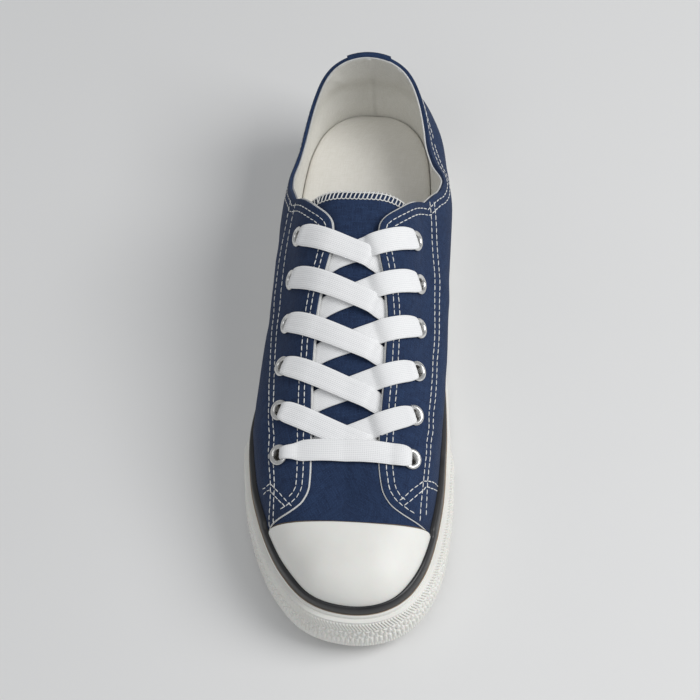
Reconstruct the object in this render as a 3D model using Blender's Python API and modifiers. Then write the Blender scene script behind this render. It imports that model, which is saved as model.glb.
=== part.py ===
"""Low-top canvas sneaker for the right foot, standing empty on its sole.

The toe points along -Y, the heel along +Y and the inner (medial) side along +X, with Z up.
One station table along the shoe's length gives the last: the sole's outline, the bed of the foot,
the top of the rubber foxing and the arch over the instep. Every piece is a wall, band or plate
cut from that last or lifted off it, so a changed size moves all that meets it.
"""

import math

import bmesh
import bpy
import numpy as np
from mathutils import Matrix, Vector
from mathutils.bvhtree import BVHTree

MM = 0.001

# Driving sizes of the last
SOLE_LENGTH = 268 * MM
BALL_WIDTH = 88 * MM
INSTEP_HEIGHT = 86 * MM
HEEL_HEIGHT = 77 * MM
BED_HEIGHT = 22 * MM
TOE_SPRING = 6 * MM
SPRING_START = 0.28

# Rubber parts
FOXING_HEIGHT = 30 * MM
FOXING_WALL = 2.5 * MM
FOXING_LIFT = 1.0 * MM
FOXING_FOOT = 2.0 * MM
FOXING_CHAMFER = 0.6 * MM
FOXING_LIP = 1.0 * MM
FOXING_MIDDLE = 0.62
FLARE = 3.0 * MM
FLARE_MIDDLE = 0.45
WAIST_RECESS = 1.2 * MM
WAIST_FROM = 0.47
WAIST_TO = 0.66
STRIPE_HEIGHT = 3.6 * MM
STRIPE_WALL = 1.4 * MM
BUMPER_WALL = 2.0 * MM
BUMPER_FOOT = 3.0 * MM
BUMPER_DROP = 3.0 * MM
BUMPER_END = 0.335
CAP_WALL = 1.3 * MM
CAP_EDGE = 0.161
CAP_CORNER = 0.151
CAP_DIP = 6.0 * MM

# Cloth parts
CANVAS_WALL = 1.6 * MM
QUARTER_STEP = 0.8 * MM
BULGE = 4.0 * MM
BULGE_RISE = 32 * MM
THROAT_START = 0.25
THROAT_END = 0.635
HEEL_STAY_WIDTH = 21 * MM
HEEL_STAY_WALL = 0.8 * MM
TONGUE_WALL = 1.8 * MM
TONGUE_WIDTH = 54 * MM
TONGUE_FROM = 0.222
TONGUE_TO = 0.668
TONGUE_DIVE = 0.016
INSOLE_WALL = 4.0 * MM
INSOLE_DISH = 1.0 * MM

# Lacing
LACE_WIDTH = 9.0 * MM
LACE_WALL = 1.2 * MM
LACE_CROWN = 0.25 * MM
LACE_ROOM = 1.9 * MM
LACE_LEAD = 2.5 * MM
LACE_STOP = 2.8 * MM
LACE_SLACK = 0.25 * MM
EYELET_HOLE = 2.4 * MM
EYELET_FLANGE = 4.5 * MM
EYELET_TUBE = 0.4 * MM
EYELET_RISE = 0.9 * MM
EYELET_LIP = 0.3 * MM
EYELET_SEAT = 0.4 * MM

GAP = 0.3 * MM
CROWN = math.pi / 2

# A row for each section, from the toe tip to the back of the heel. along is a share of SOLE_LENGTH,
# centre, half and ridge of BALL_WIDTH, flare of FLARE, bed of BED_HEIGHT, foxing of FOXING_HEIGHT, crown of
# INSTEP_HEIGHT, outer_bulge and inner_bulge of BULGE, on the lateral and the medial side, and belly of
# BULGE_RISE. power is the arch's roundness, where 2 is an ellipse.
SECTION_COLUMNS = (
    "along",
    "centre",
    "half",
    "ridge",
    "flare",
    "bed",
    "foxing",
    "crown",
    "outer_bulge",
    "inner_bulge",
    "belly",
    "power",
)
SECTIONS = (
    (0.000, 0.098, 0.000, 0.000, 1.10, 0.66, 0.76, 0.50, 0.00, 0.00, 1.00, 2.4),
    (0.010, 0.090, 0.164, 0.000, 1.10, 0.66, 0.76, 0.50, 0.00, 0.00, 1.00, 2.4),
    (0.025, 0.085, 0.244, 0.000, 1.10, 0.66, 0.76, 0.50, 0.00, 0.00, 1.00, 2.4),
    (0.050, 0.080, 0.316, 0.000, 1.10, 0.66, 0.76, 0.50, 0.00, 0.00, 1.00, 2.4),
    (0.100, 0.064, 0.402, 0.000, 1.00, 0.66, 0.77, 0.50, 0.00, 0.00, 1.00, 2.4),
    (0.160, 0.044, 0.458, 0.000, 0.90, 0.68, 0.78, 0.505, 0.05, 0.05, 1.00, 2.4),
    (0.240, 0.022, 0.494, 0.000, 0.65, 0.70, 0.79, 0.58, 0.30, 0.30, 1.00, 2.3),
    (0.320, 0.010, 0.502, 0.008, 0.40, 0.72, 0.80, 0.67, 0.45, 0.45, 1.00, 2.2),
    (0.400, 0.017, 0.484, 0.004, 0.30, 0.76, 0.82, 0.765, 0.70, 0.90, 1.00, 2.1),
    (0.500, 0.024, 0.446, 0.002, 0.30, 0.84, 0.86, 0.875, 1.10, 1.50, 1.10, 2.2),
    (0.600, 0.022, 0.424, 0.004, 0.30, 0.92, 0.90, 0.980, 1.10, 1.80, 1.25, 2.5),
    (0.700, 0.021, 0.420, 0.005, 0.30, 0.97, 0.94, 1.060, 0.80, 1.95, 1.45, 2.6),
    (0.750, 0.020, 0.414, 0.005, 0.30, 0.99, 0.955, 1.080, 0.65, 2.00, 1.42, 2.4),
    (0.800, 0.018, 0.408, 0.006, 0.30, 1.00, 0.97, 1.100, 0.40, 1.50, 1.00, 2.1),
    (0.870, 0.020, 0.388, 0.002, 0.30, 1.00, 0.99, 1.150, 0.20, 1.20, 0.78, 1.9),
    (0.930, 0.022, 0.338, 0.000, 0.30, 1.00, 1.00, 1.350, 0.20, 0.80, 0.78, 2.1),
    (0.970, 0.022, 0.254, 0.000, 0.30, 1.00, 1.00, 1.700, 0.50, 0.70, 0.90, 2.3),
    (0.990, 0.022, 0.160, 0.000, 0.30, 1.00, 1.00, 2.000, 0.60, 0.60, 0.90, 2.3),
    (1.000, 0.022, 0.000, 0.000, 0.30, 1.00, 1.00, 2.000, 0.60, 0.60, 0.90, 2.3),
)

# The quarters' edge on the front and up the throat: reach is its distance from the centre line,
# a share of BALL_WIDTH, at each share of the length.
THROAT_COLUMNS = ("along", "reach")
THROAT = (
    (0.151, 0.480),
    (0.154, 0.400),
    (0.158, 0.330),
    (0.165, 0.265),
    (0.178, 0.208),
    (0.200, 0.176),
    (0.240, 0.166),
    (0.308, 0.170),
    (0.375, 0.176),
    (0.445, 0.176),
    (0.513, 0.153),
    (0.577, 0.112),
    (0.600, 0.110),
    (0.612, 0.124),
    (0.623, 0.168),
    (0.632, 0.200),
    (0.640, 0.230),
)

# The topline from the side: height is a share of HEEL_HEIGHT.
TOPLINE_COLUMNS = ("along", "height")
TOPLINE = (
    (0.630, 1.120),
    (0.640, 1.048),
    (0.650, 1.028),
    (0.660, 1.000),
    (0.670, 0.960),
    (0.681, 0.912),
    (0.695, 0.862),
    (0.715, 0.815),
    (0.750, 0.757),
    (0.800, 0.712),
    (0.850, 0.715),
    (0.900, 0.790),
    (0.950, 0.925),
    (0.985, 1.040),
    (1.000, 1.060),
)

# The rows of eyelets, from the top row to the lowest. reach is the distance from the centre line,
# a share of BALL_WIDTH.
EYELET_COLUMNS = ("along", "reach")
EYELETS = (
    (0.614, 0.270),
    (0.547, 0.300),
    (0.470, 0.308),
    (0.394, 0.314),
    (0.322, 0.314),
    (0.252, 0.308),
)

# The fan at each end: how far inside the tip the sections of the toe and heel meet.
FAN_TOE = 0.18
FAN_HEEL = 0.125
FAN_POWER = 3

# The vamp's back edge follows the section that ends at the throat's foot, and starts at this share.
VAMP_END = (THROAT_START**FAN_POWER - FAN_TOE**FAN_POWER) ** (1 / FAN_POWER)

# Stations by arc length: share of the length at which each stretch ends, and its number of steps
STRETCHES = ((0.0, 0), (CAP_CORNER, 9), (0.178, 3), (VAMP_END, 2), (THROAT_END, 10), (0.80, 4))
HEEL_STEPS = 7
STAY_STEPS = 3
QUARTER_ROWS = 7
VAMP_ROWS = 5

LATERAL, MEDIAL = -1, 1

COLOURS = {
    "canvas": ((0.022, 0.042, 0.115), 0.85, 0.0),
    "rubber": ((0.80, 0.78, 0.72), 0.45, 0.0),
    "black_rubber": ((0.02, 0.02, 0.02), 0.40, 0.0),
    "insole": ((0.70, 0.66, 0.58), 0.80, 0.0),
    "lace": ((0.86, 0.87, 0.88), 0.85, 0.0),
    "metal": ((0.80, 0.80, 0.80), 0.25, 1.0),
}


def smooth(knots, values, at):
    """Monotone cubic through a table's rows, which never overshoots them."""
    step = np.diff(knots)
    slope = np.diff(values) / step
    tangent = np.zeros(len(knots))
    tangent[0], tangent[-1] = slope[0], slope[-1]
    rising = slope[:-1] * slope[1:] > 0
    wide, narrow = 2 * step[1:] + step[:-1], step[1:] + 2 * step[:-1]
    before, after = np.where(rising, slope[:-1], 1), np.where(rising, slope[1:], 1)
    inner = (wide + narrow) / (wide / before + narrow / after)
    tangent[1:-1] = np.where(rising, inner, 0)
    at = np.clip(at, knots[0], knots[-1])
    i = np.clip(np.searchsorted(knots, at, side="right") - 1, 0, len(step) - 1)
    t = (at - knots[i]) / step[i]
    start = (2 * t**3 - 3 * t**2 + 1) * values[i] + (t**3 - 2 * t**2 + t) * step[i] * tangent[i]
    return start + (3 * t**2 - 2 * t**3) * values[i + 1] + (t**3 - t**2) * step[i] * tangent[i + 1]


def column(table, columns, name, at):
    """A table's column at any share of the length."""
    rows = np.array(table)
    return smooth(rows[:, 0], rows[:, columns.index(name)], np.asarray(at, float))


def section(name, along):
    return column(SECTIONS, SECTION_COLUMNS, name, along)


def ridge_line(along):
    """Where the ridge and the throat's middle run across the shoe, a little to the medial side."""
    return (section("centre", along) + section("ridge", along)) * BALL_WIDTH


def along_of(phi):
    """Share of the length at phi, which runs from 0 at the toe tip to pi at the back of the heel."""
    return (1 - np.cos(phi)) / 2


def spring(along):
    """How far the toe spring lifts the shoe off the floor."""
    return TOE_SPRING * np.clip((SPRING_START - along) / SPRING_START, 0, 1) ** 2


def outline(phi, side):
    """The sole's edge on the floor. Squares of the half width are interpolated, so both ends are round."""
    along = along_of(phi)
    rows = np.array(SECTIONS)
    half = rows[:, SECTION_COLUMNS.index("half")]
    width = np.sqrt(np.maximum(smooth(rows[:, 0], half**2, along), 0)) * np.sign(np.sin(phi))
    x = (section("centre", along) + side * width) * BALL_WIDTH
    return np.stack([x, along * SOLE_LENGTH], -1)


def outward(phi, side):
    """Unit normal of the outline in plan, away from the shoe."""
    reach = 1e-3
    tangent = outline(phi + reach, side) - outline(phi - reach, side)
    normal = np.stack([tangent[..., 1], -tangent[..., 0]], -1) * np.asarray(side)[..., None]
    return normal / np.linalg.norm(normal, axis=-1, keepdims=True)


def inset(along):
    """From the sole's edge to the inner face of the foxing."""
    return FLARE * section("flare", along) + FOXING_WALL


def ring(phi, side, out, height):
    """Points beside the sole's edge, out from it in plan, at a height over the floor."""
    plan = outline(phi, side) + outward(phi, side) * np.broadcast_to(out, np.shape(phi))[..., None]
    return np.column_stack([plan, height + spring(plan[:, 1] / SOLE_LENGTH)])


def fan(along):
    """Where on the ridge a section that starts at the outline's share along ends."""
    toe = (along**FAN_POWER + FAN_TOE**FAN_POWER) ** (1 / FAN_POWER) - along
    heel = ((1 - along) ** FAN_POWER + FAN_HEEL**FAN_POWER) ** (1 / FAN_POWER) - (1 - along)
    return along + toe - heel


def last_at(phi, side, theta):
    """The vamp's outer face: theta is 0 at the top of the foxing and a quarter turn on the ridge."""
    along = along_of(phi)
    crown = fan(along)
    normal = outward(phi, side)
    base = outline(phi, side) - normal * (inset(along) + GAP + QUARTER_STEP)[..., None]
    top = np.stack([ridge_line(crown), crown * SOLE_LENGTH], -1)
    power = 2 / section("power", along)
    rise = np.sin(theta) ** power
    inward = 1 - np.cos(theta) ** power
    foot = FOXING_HEIGHT * section("foxing", along)
    height = (INSTEP_HEIGHT * section("crown", crown) - foot) * rise
    swell = np.sin(math.pi * np.clip(height / (BULGE_RISE * section("belly", along)), 0, 1)) ** 2
    bulge = np.where(side > 0, section("inner_bulge", along), section("outer_bulge", along))
    swell = swell * BULGE * bulge
    plan = base + (top - base) * inward[..., None] + normal * swell[..., None]
    level = foot + height + spring(plan[..., 1] / SOLE_LENGTH)
    return np.concatenate([plan, level[..., None]], -1)


def ridge_normal(phi):
    """The surface's normal on the ridge, where the sections of both sides meet."""
    step = 1e-3
    fore, aft = fan(along_of(phi)) - step, fan(along_of(phi)) + step
    rise = INSTEP_HEIGHT * (section("crown", aft) - section("crown", fore)) + spring(aft) - spring(fore)
    return np.stack([np.zeros(len(phi)), -rise, np.full(len(phi), 2 * step * SOLE_LENGTH)], -1)


def last(phi, side, theta, lift=0.0):
    """last_at, moved out along the surface's normal by lift."""
    phi, side, theta, lift = np.broadcast_arrays(phi, side, theta, lift)
    reach = 2e-3
    low = np.clip(theta - reach, 1e-4, CROWN - reach)
    up = last_at(phi, side, low + reach) - last_at(phi, side, low)
    round_toe = last_at(phi + reach, side, theta) - last_at(phi - reach, side, theta)
    normal = np.cross(up, round_toe) * -side[..., None]
    normal = np.where((theta > CROWN - reach)[:, None], ridge_normal(phi), normal)
    normal /= np.linalg.norm(normal, axis=-1, keepdims=True)
    return last_at(phi, side, theta) + normal * lift[..., None]


def theta_where(inside, phi, side):
    """The angle up each section at which inside(point) stops holding, by halving."""
    low, high = np.zeros(len(phi)), np.full(len(phi), CROWN)
    for _ in range(30):
        middle = (low + high) / 2
        holds = inside(last_at(phi, side, middle))
        low, high = np.where(holds, middle, low), np.where(holds, high, middle)
    return low


def off_centre(points):
    """Distance of points from the centre line in plan."""
    along = points[..., 1] / SOLE_LENGTH
    return np.abs(points[..., 0] - ridge_line(along))


def below_edge(points):
    """Whether points of the last belong to the quarters, below the throat's edge and the topline."""
    along = points[..., 1] / SOLE_LENGTH
    reach = column(THROAT, THROAT_COLUMNS, "reach", along) * BALL_WIDTH
    topline = column(TOPLINE, TOPLINE_COLUMNS, "height", along) * HEEL_HEIGHT
    topline = np.where(along < TOPLINE[0][0], 1.0, topline)
    return ((off_centre(points) > reach) | (along > THROAT[-1][0])) & (points[..., 2] < topline)


def arc_phi(first, last_share, steps):
    """Angles phi between two shares of the length, evenly spaced along the outline."""
    ends = np.arccos(1 - 2 * np.array([first, last_share]))
    fine = np.linspace(*ends, 200)
    run = np.linalg.norm(np.diff(outline(fine, MEDIAL), axis=0), axis=1).cumsum()
    return np.interp(np.linspace(0, run[-1], steps + 1), np.concatenate([[0], run]), fine)


def stations():
    """Angle and side of every station, from the toe tip round the lateral side, heel and medial side."""
    heel = np.linspace(0.9, 1, 400)
    reach = outline(np.arccos(1 - 2 * heel), np.full(400, MEDIAL))[:, 0] - inset(heel)
    stay = float(heel[reach > HEEL_STAY_WIDTH / 2][-1])
    stretches = STRETCHES + ((stay, HEEL_STEPS), (1.0, STAY_STEPS))
    phi = [np.zeros(1)]
    for (start, _), (end, steps) in zip(stretches, stretches[1:]):
        phi.append(arc_phi(start, end, steps)[1:])
    half = np.concatenate(phi)
    side = np.concatenate([np.full(len(half), LATERAL), np.full(len(half) - 2, MEDIAL)])
    return np.concatenate([half, half[-2:0:-1]]), side


PHI, SIDE = stations()
HALF = len(PHI) // 2
ALONG = along_of(PHI)
REST_X = (outline(PHI, SIDE)[:, 0].max() + outline(PHI, SIDE)[:, 0].min()) / 2
REST_Y = (SOLE_LENGTH - BUMPER_WALL) / 2
REST = Vector((-REST_X, -REST_Y, 0))


def round_the_toe(limit):
    """Stations nearer the toe than a share of the length, from the medial side to the lateral."""
    near = ALONG < limit
    return [k for k in range(HALF, len(PHI)) if near[k]] + [k for k in range(HALF) if near[k]]


def material(name):
    found = bpy.data.materials.get(name)
    if found:
        return found
    colour, roughness, metallic = COLOURS[name]
    made = bpy.data.materials.new(name)
    made.use_nodes = True
    shader = made.node_tree.nodes["Principled BSDF"]
    shader.inputs["Base Color"].default_value = (*colour, 1)
    shader.inputs["Roughness"].default_value = roughness
    shader.inputs["Metallic"].default_value = metallic
    made.diffuse_color = (*colour, 1)
    return made


def add_object(name, mesh, finish, collection=None):
    """A named object whose mesh is moved so that the shoe's box stands centred on the origin."""
    mesh.materials.append(material(finish))
    item = bpy.data.objects.new(name, mesh)
    (collection or PARTS).objects.link(item)
    item.location = REST
    return item


def shell(name, outer, inner, finish, kept=None, looped=True):
    """A solid wall between two grids of points, indexed by row and station.

    kept marks the cells that have material, and looped joins the last station to the first.
    Outer points that coincide, as on the ridge, are one point, and the wall's edges close themselves.
    """
    rows, count = outer.shape[:2]
    flat = outer.reshape(-1, 3)
    seen = {}
    index = [seen.setdefault(tuple(np.round(p / (0.02 * MM)).astype(int)), i) for i, p in enumerate(flat)]
    cells = []
    for j in range(rows - 1):
        for k in range(count if looped else count - 1):
            if kept is not None and not kept[j][k]:
                continue
            corners = [(j, k), (j, (k + 1) % count), (j + 1, (k + 1) % count), (j + 1, k)]
            face = list(dict.fromkeys(index[a * count + b] for a, b in corners))
            if len(face) > 2:
                cells.append(face)
    edges = {}
    for face in cells:
        for a, b in zip(face, face[1:] + face[:1]):
            edges[(a, b)] = edges.get((a, b), 0) + 1
    rim = [(a, b) for a, b in edges if (b, a) not in edges]
    total = len(flat)
    faces = cells + [[i + total for i in reversed(face)] for face in cells]
    faces += [[b, a, a + total, b + total] for a, b in rim]
    points = np.concatenate([flat, inner.reshape(-1, 3)])
    return add_object(name, clean_mesh(name, points, faces), finish)


def sweep(name, profile, finish, looped=True):
    """A solid band: profile is its closed cross-section, a list of rings of station points."""
    rings = np.array(profile)
    sides, count = rings.shape[:2]
    faces = []
    for i in range(sides):
        for k in range(count if looped else count - 1):
            a, b = i, (i + 1) % sides
            after = (k + 1) % count
            faces.append([a * count + k, a * count + after, b * count + after, b * count + k])
    if not looped:
        faces.append([i * count for i in range(sides)])
        faces.append([i * count + count - 1 for i in reversed(range(sides))])
    return add_object(name, clean_mesh(name, rings.reshape(-1, 3), faces), finish)


def clean_mesh(name, points, faces):
    """A mesh of these faces without loose points, its faces turned outwards."""
    mesh = bpy.data.meshes.new(name)
    mesh.from_pydata([tuple(p) for p in points], [], faces)
    work = bmesh.new()
    work.from_mesh(mesh)
    bmesh.ops.delete(work, geom=[v for v in work.verts if not v.link_faces], context="VERTS")
    bmesh.ops.triangulate(work, faces=work.faces)
    bmesh.ops.recalc_face_normals(work, faces=work.faces)
    if work.calc_volume(signed=True) < 0:
        bmesh.ops.reverse_faces(work, faces=work.faces)
    work.to_mesh(mesh)
    work.free()
    mesh.shade_smooth()
    mesh.set_sharp_from_angle(angle=math.radians(35))
    return mesh


def plate(name, edge, low, high, finish, dish=0.0):
    """A slab filled from side to side, its top raised by dish at its edges.

    edge is how far it stays inside the sole's edge."""
    across = (-1, -0.55, 0, 0.55, 1) if dish else (-1, 0, 1)
    phi, along = PHI[: HALF + 1], ALONG[: HALF + 1]
    sides = [ring(phi, np.full(len(phi), s), -edge(along), np.zeros(len(phi))) for s in (LATERAL, MEDIAL)]
    bottom, top = [], []
    for share in across:
        line = sides[0] * (1 - share) / 2 + sides[1] * (1 + share) / 2
        bottom.append(np.column_stack([line[:, :2], line[:, 2] + low(along)]))
        top.append(np.column_stack([line[:, :2], line[:, 2] + high(along) + dish * share**2 * np.sin(phi)]))
    return shell(name, np.array(top), np.array(bottom), finish, looped=False)


def bed(along):
    return BED_HEIGHT * section("bed", along)


def foxing_top(along):
    return FOXING_HEIGHT * section("foxing", along)


def rubber_edge(along):
    return inset(along) + GAP


def build_outsole():
    """The rubber sole under the foot, with its waist raised off the floor between heel and ball."""

    def underside(along):
        edge = np.minimum(along - WAIST_FROM, WAIST_TO - along)
        return WAIST_RECESS * np.clip(edge / 0.02, 0, 1)

    plate("outsole", rubber_edge, underside, bed, "rubber")


def build_foxing():
    """The rubber band wrapped round sole and upper, flared at its foot."""
    top, level = foxing_top(ALONG), np.full(len(PHI), FOXING_LIFT)
    inner, flare = -inset(ALONG), -FLARE * section("flare", ALONG)
    profile = [
        ring(PHI, SIDE, inner, level),
        ring(PHI, SIDE, -FOXING_CHAMFER, level),
        ring(PHI, SIDE, 0.0, level + FOXING_FOOT),
        ring(PHI, SIDE, flare * FLARE_MIDDLE, top * FOXING_MIDDLE),
        ring(PHI, SIDE, flare, top - FOXING_LIP),
        ring(PHI, SIDE, flare - FOXING_LIP / 2, top),
        ring(PHI, SIDE, inner, top),
    ]
    sweep("foxing_band", profile, "rubber")


def build_bumper():
    """The thicker ribbed strip round the toe, stepped between its three rows of ribs."""
    order = round_the_toe(BUMPER_END)
    phi, side, along = PHI[order], SIDE[order], ALONG[order]
    top = foxing_top(along)
    flare = FLARE * section("flare", along)
    thin = np.clip((BUMPER_END - along) / 0.02, 0.25, 1)

    def face(share):
        """The foxing's outer face, as straight lines between its own rings."""
        heights = [(FOXING_LIFT + FOXING_FOOT) / top, FOXING_MIDDLE, 1 - FOXING_LIP / top]
        height = BUMPER_FOOT + (top - BUMPER_DROP - BUMPER_FOOT) * share
        level = height / top
        low = -flare * FLARE_MIDDLE * (level - heights[0]) / (heights[1] - heights[0])
        high = -flare * (FLARE_MIDDLE + (1 - FLARE_MIDDLE) * (level - heights[1]) / (heights[2] - heights[1]))
        return np.where(level < heights[1], low, high), height

    shares = ((0, 0.8), (0.28, 1.0), (0.34, 0.7), (0.62, 0.7), (0.68, 1.0), (0.96, 0.8))
    profile = []
    for share, wall in shares:
        out, height = face(share)
        profile.append(ring(phi, side, out + GAP + (BUMPER_WALL - GAP) * wall * thin, height))
    for share in (0.96, 0.62, 0.3, 0):
        out, height = face(share)
        profile.append(ring(phi, side, out + GAP, height))
    sweep("toe_bumper", profile, "rubber", looped=False)


def band_theta(height):
    """Angle up each station's section at which the last is height over the foxing's top edge."""
    level = foxing_top(ALONG) + height
    return theta_where(lambda p: p[:, 2] < level + spring(p[:, 1] / SOLE_LENGTH), PHI, SIDE)


def build_stripe():
    """The black rubber line that stands on the foxing's top edge and hugs the canvas."""
    foot, head = band_theta(GAP), band_theta(STRIPE_HEIGHT)
    hug = QUARTER_STEP + GAP

    def standing(points):
        """The same points, none lower than the foxing's top edge allows."""
        floor = foxing_top(ALONG) + spring(points[:, 1] / SOLE_LENGTH) + GAP
        return np.column_stack([points[:, :2], np.maximum(points[:, 2], floor)])

    profile = [
        standing(last(PHI, SIDE, foot, hug)),
        standing(last(PHI, SIDE, foot, hug + STRIPE_WALL)),
        last(PHI, SIDE, foot * 0.4 + head * 0.6, hug + STRIPE_WALL),
        last(PHI, SIDE, head, hug + STRIPE_WALL * 0.45),
        last(PHI, SIDE, head, hug),
    ]
    sweep("foxing_stripe", profile, "black_rubber")


def quarter_angles():
    """Angles up every station's section for the quarters' rows, from the stripe's top to their edge."""
    head = band_theta(STRIPE_HEIGHT)
    edge = np.where(ALONG > CAP_CORNER + 0.001, theta_where(below_edge, PHI, SIDE), 0)
    edge = np.maximum(edge, head + 0.02)
    return [head + (edge - head) * share for share in np.linspace(0, 1, QUARTER_ROWS - 1)]


def vamp_angles():
    """Angles up every station's section for the vamp's rows, from just above the quarters' edge."""
    sink = np.minimum(quarter_angles()[-1] + 0.02, CROWN)
    return [sink + (CROWN - sink) * share for share in np.linspace(0, 1, VAMP_ROWS + 1)]


def build_upper():
    """The canvas upper: one hollow wall, open at the collar and throat and underneath.

    The quarters are a step thicker than the vamp, whose front they overlap."""
    angles = [np.zeros(len(PHI))] + quarter_angles()
    foot = ring(PHI, SIDE, -(inset(ALONG) + GAP), bed(ALONG) + GAP)
    foot_lining = ring(PHI, SIDE, -(inset(ALONG) + GAP + QUARTER_STEP + CANVAS_WALL), bed(ALONG) + GAP)
    outer = [foot] + [last(PHI, SIDE, angle, QUARTER_STEP) for angle in angles]
    inner = [foot_lining] + [last(PHI, SIDE, angle, -CANVAS_WALL) for angle in angles]
    outer += [last(PHI, SIDE, angle) for angle in vamp_angles()]
    inner += [last(PHI, SIDE, angle, -CANVAS_WALL) for angle in vamp_angles()]
    in_vamp = np.minimum(ALONG, np.roll(ALONG, -1)) < VAMP_END - 1e-6
    kept = [np.ones(len(PHI), bool)] * QUARTER_ROWS + [in_vamp] * (VAMP_ROWS + 1)
    upper = shell("upper", np.array(outer), np.array(inner), "canvas", kept)
    cutters = [eyelet_cutter(point, normal) for point, normal in eyelet_places()]
    cut = upper.modifiers.new("eyelet_holes", "BOOLEAN")
    cut.operation, cut.object = "DIFFERENCE", join_solids("eyelet_cutter", cutters)


def build_toe_cap():
    """The moulded rubber cap over the toe, cut straight across at its back edge."""
    order = round_the_toe(CAP_EDGE + 0.03)
    phi, side = PHI[order], SIDE[order]
    angles = [band_theta(STRIPE_HEIGHT + GAP)[order]] + [angle[order] for angle in vamp_angles()]
    low, high = [], []
    for row, angle in enumerate(angles):
        hug = GAP * 2 + QUARTER_STEP * max(0, 1 - row / 3)
        low.append(last(phi, side, angle, hug))
        high.append(last(phi, side, angle, hug + CAP_WALL))
    cap = shell("toe_cap", np.array(high), np.array(low), "rubber", looped=False)
    behind = bmesh.new()
    across = np.linspace(-1, 1, 9)
    front = [(x * BALL_WIDTH / 2, CAP_EDGE * SOLE_LENGTH - CAP_DIP * (1 - x**2)) for x in across]
    back = [(BALL_WIDTH, SOLE_LENGTH), (-BALL_WIDTH, SOLE_LENGTH)]
    corners = [behind.verts.new((x, y, 0)) for x, y in front + back]
    floor = behind.faces.new(corners)
    raised = bmesh.ops.extrude_face_region(behind, geom=[floor])["geom"]
    bmesh.ops.translate(
        behind, verts=[v for v in raised if isinstance(v, bmesh.types.BMVert)], vec=(0, 0, SOLE_LENGTH)
    )
    bmesh.ops.recalc_face_normals(behind, faces=behind.faces)
    cut = cap.modifiers.new("back_edge", "BOOLEAN")
    cut.operation, cut.object = "DIFFERENCE", join_solids("cap_cutter", [behind])


def last_tree():
    """The last's outer face, from side to side over the ridge, as a search tree for what lies on it."""
    up = np.linspace(0.02, CROWN, 40)
    rows = [(LATERAL, theta) for theta in up] + [(MEDIAL, theta) for theta in up[-2::-1]]
    run = np.linspace(0.02, math.pi - 0.02, 160)
    count = len(run)
    points, faces = [], []
    for side, theta in rows:
        points += [tuple(p) for p in last_at(run, np.full(count, side), np.full(count, theta))]
    for j in range(len(rows) - 1):
        for k in range(count - 1):
            corner = j * count + k
            faces.append((corner, corner + 1, corner + count + 1, corner + count))
    return BVHTree.FromPolygons(points, faces)


def drape(x, y, lift):
    """The point of the last over a plan point, lifted along the normal there, and that normal."""
    hit, normal, _, _ = TREE.ray_cast(Vector((x, y, 1)), Vector((0, 0, -1)))
    if normal.z < 0:
        normal = -normal
    return hit + normal * lift, normal


def eyelet_places():
    """Each eyelet's seat on the quarter's face and its normal, from the top row down, lateral first."""
    places = []
    for along, reach in EYELETS:
        for side in (LATERAL, MEDIAL):
            x = float(ridge_line(along)) + side * reach * BALL_WIDTH
            places.append(drape(x, along * SOLE_LENGTH, QUARTER_STEP))
    return places


def eyelet_cutter(point, normal):
    """A short cylinder through the wall for one eyelet's tube."""
    work = bmesh.new()
    radius = EYELET_HOLE + EYELET_TUBE + GAP
    depth = 4 * (CANVAS_WALL + QUARTER_STEP)
    bmesh.ops.create_cone(work, cap_ends=True, segments=10, radius1=radius, radius2=radius, depth=depth)
    turn = normal.to_track_quat("Z", "X").to_matrix().to_4x4()
    bmesh.ops.transform(work, matrix=Matrix.Translation(point) @ turn, verts=work.verts)
    return work


def join_solids(name, solids):
    """One hidden cutter from several separate solids."""
    mesh = bpy.data.meshes.new(name)
    whole = bmesh.new()
    for solid in solids:
        piece = bpy.data.meshes.new("piece")
        solid.to_mesh(piece)
        solid.free()
        whole.from_mesh(piece)
        bpy.data.meshes.remove(piece)
    whole.to_mesh(mesh)
    whole.free()
    cutter = add_object(name, mesh, "metal", CUTTERS)
    cutter.hide_render = True
    cutter.display_type = "WIRE"
    return cutter


def build_eyelets():
    """Twelve rolled metal eyelets, each a turned ring with a tube through the canvas."""
    flange, hole, tube = EYELET_FLANGE, EYELET_HOLE, EYELET_TUBE
    depth = CANVAS_WALL + QUARTER_STEP
    profile = (
        (hole + tube, GAP),
        (hole + tube, -depth),
        (hole, -depth),
        (hole, GAP + EYELET_RISE * 0.5),
        ((flange + hole) / 2, GAP + EYELET_RISE),
        (flange - EYELET_LIP, GAP + EYELET_RISE * 0.55),
        (flange, GAP),
    )
    for number, (point, normal) in enumerate(eyelet_places()):
        name = f"eyelet_{number // 2 + 1}_{'lateral' if number % 2 == 0 else 'medial'}"
        mesh = bpy.data.meshes.new(name)
        ends = [(i, (i + 1) % len(profile)) for i in range(len(profile))]
        mesh.from_pydata([(r, 0, z) for r, z in profile], ends, [])
        ring_object = add_object(name, mesh, "metal")
        turn = ring_object.modifiers.new("turn", "SCREW")
        turn.steps = turn.render_steps = 10
        turn.use_merge_vertices = True
        turn.merge_threshold = 0.00001
        ring_object.rotation_mode = "QUATERNION"
        ring_object.rotation_quaternion = normal.to_track_quat("Z", "X")
        ring_object.location = REST + point + normal * EYELET_SEAT


def strip(name, centre_points, width_points, lifts, wall):
    """A flat lace over the last: plan points of its middle, half its width as plan vectors, and lifts."""
    low, high = [], []
    for share in (-1, 0, 1):
        crown = LACE_CROWN * (1 - share**2)
        row_low, row_high = [], []
        for (x, y), (dx, dy), lift in zip(centre_points, width_points, lifts):
            base, normal = drape(x + dx * share, y + dy * share, lift)
            row_low.append(base)
            row_high.append(base + normal * (wall * (0.75 if abs(share) == 1 else 1) + crown))
        low.append(row_low)
        high.append(row_high)
    return shell(name, np.array(high), np.array(low), "lace", looped=False)


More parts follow.
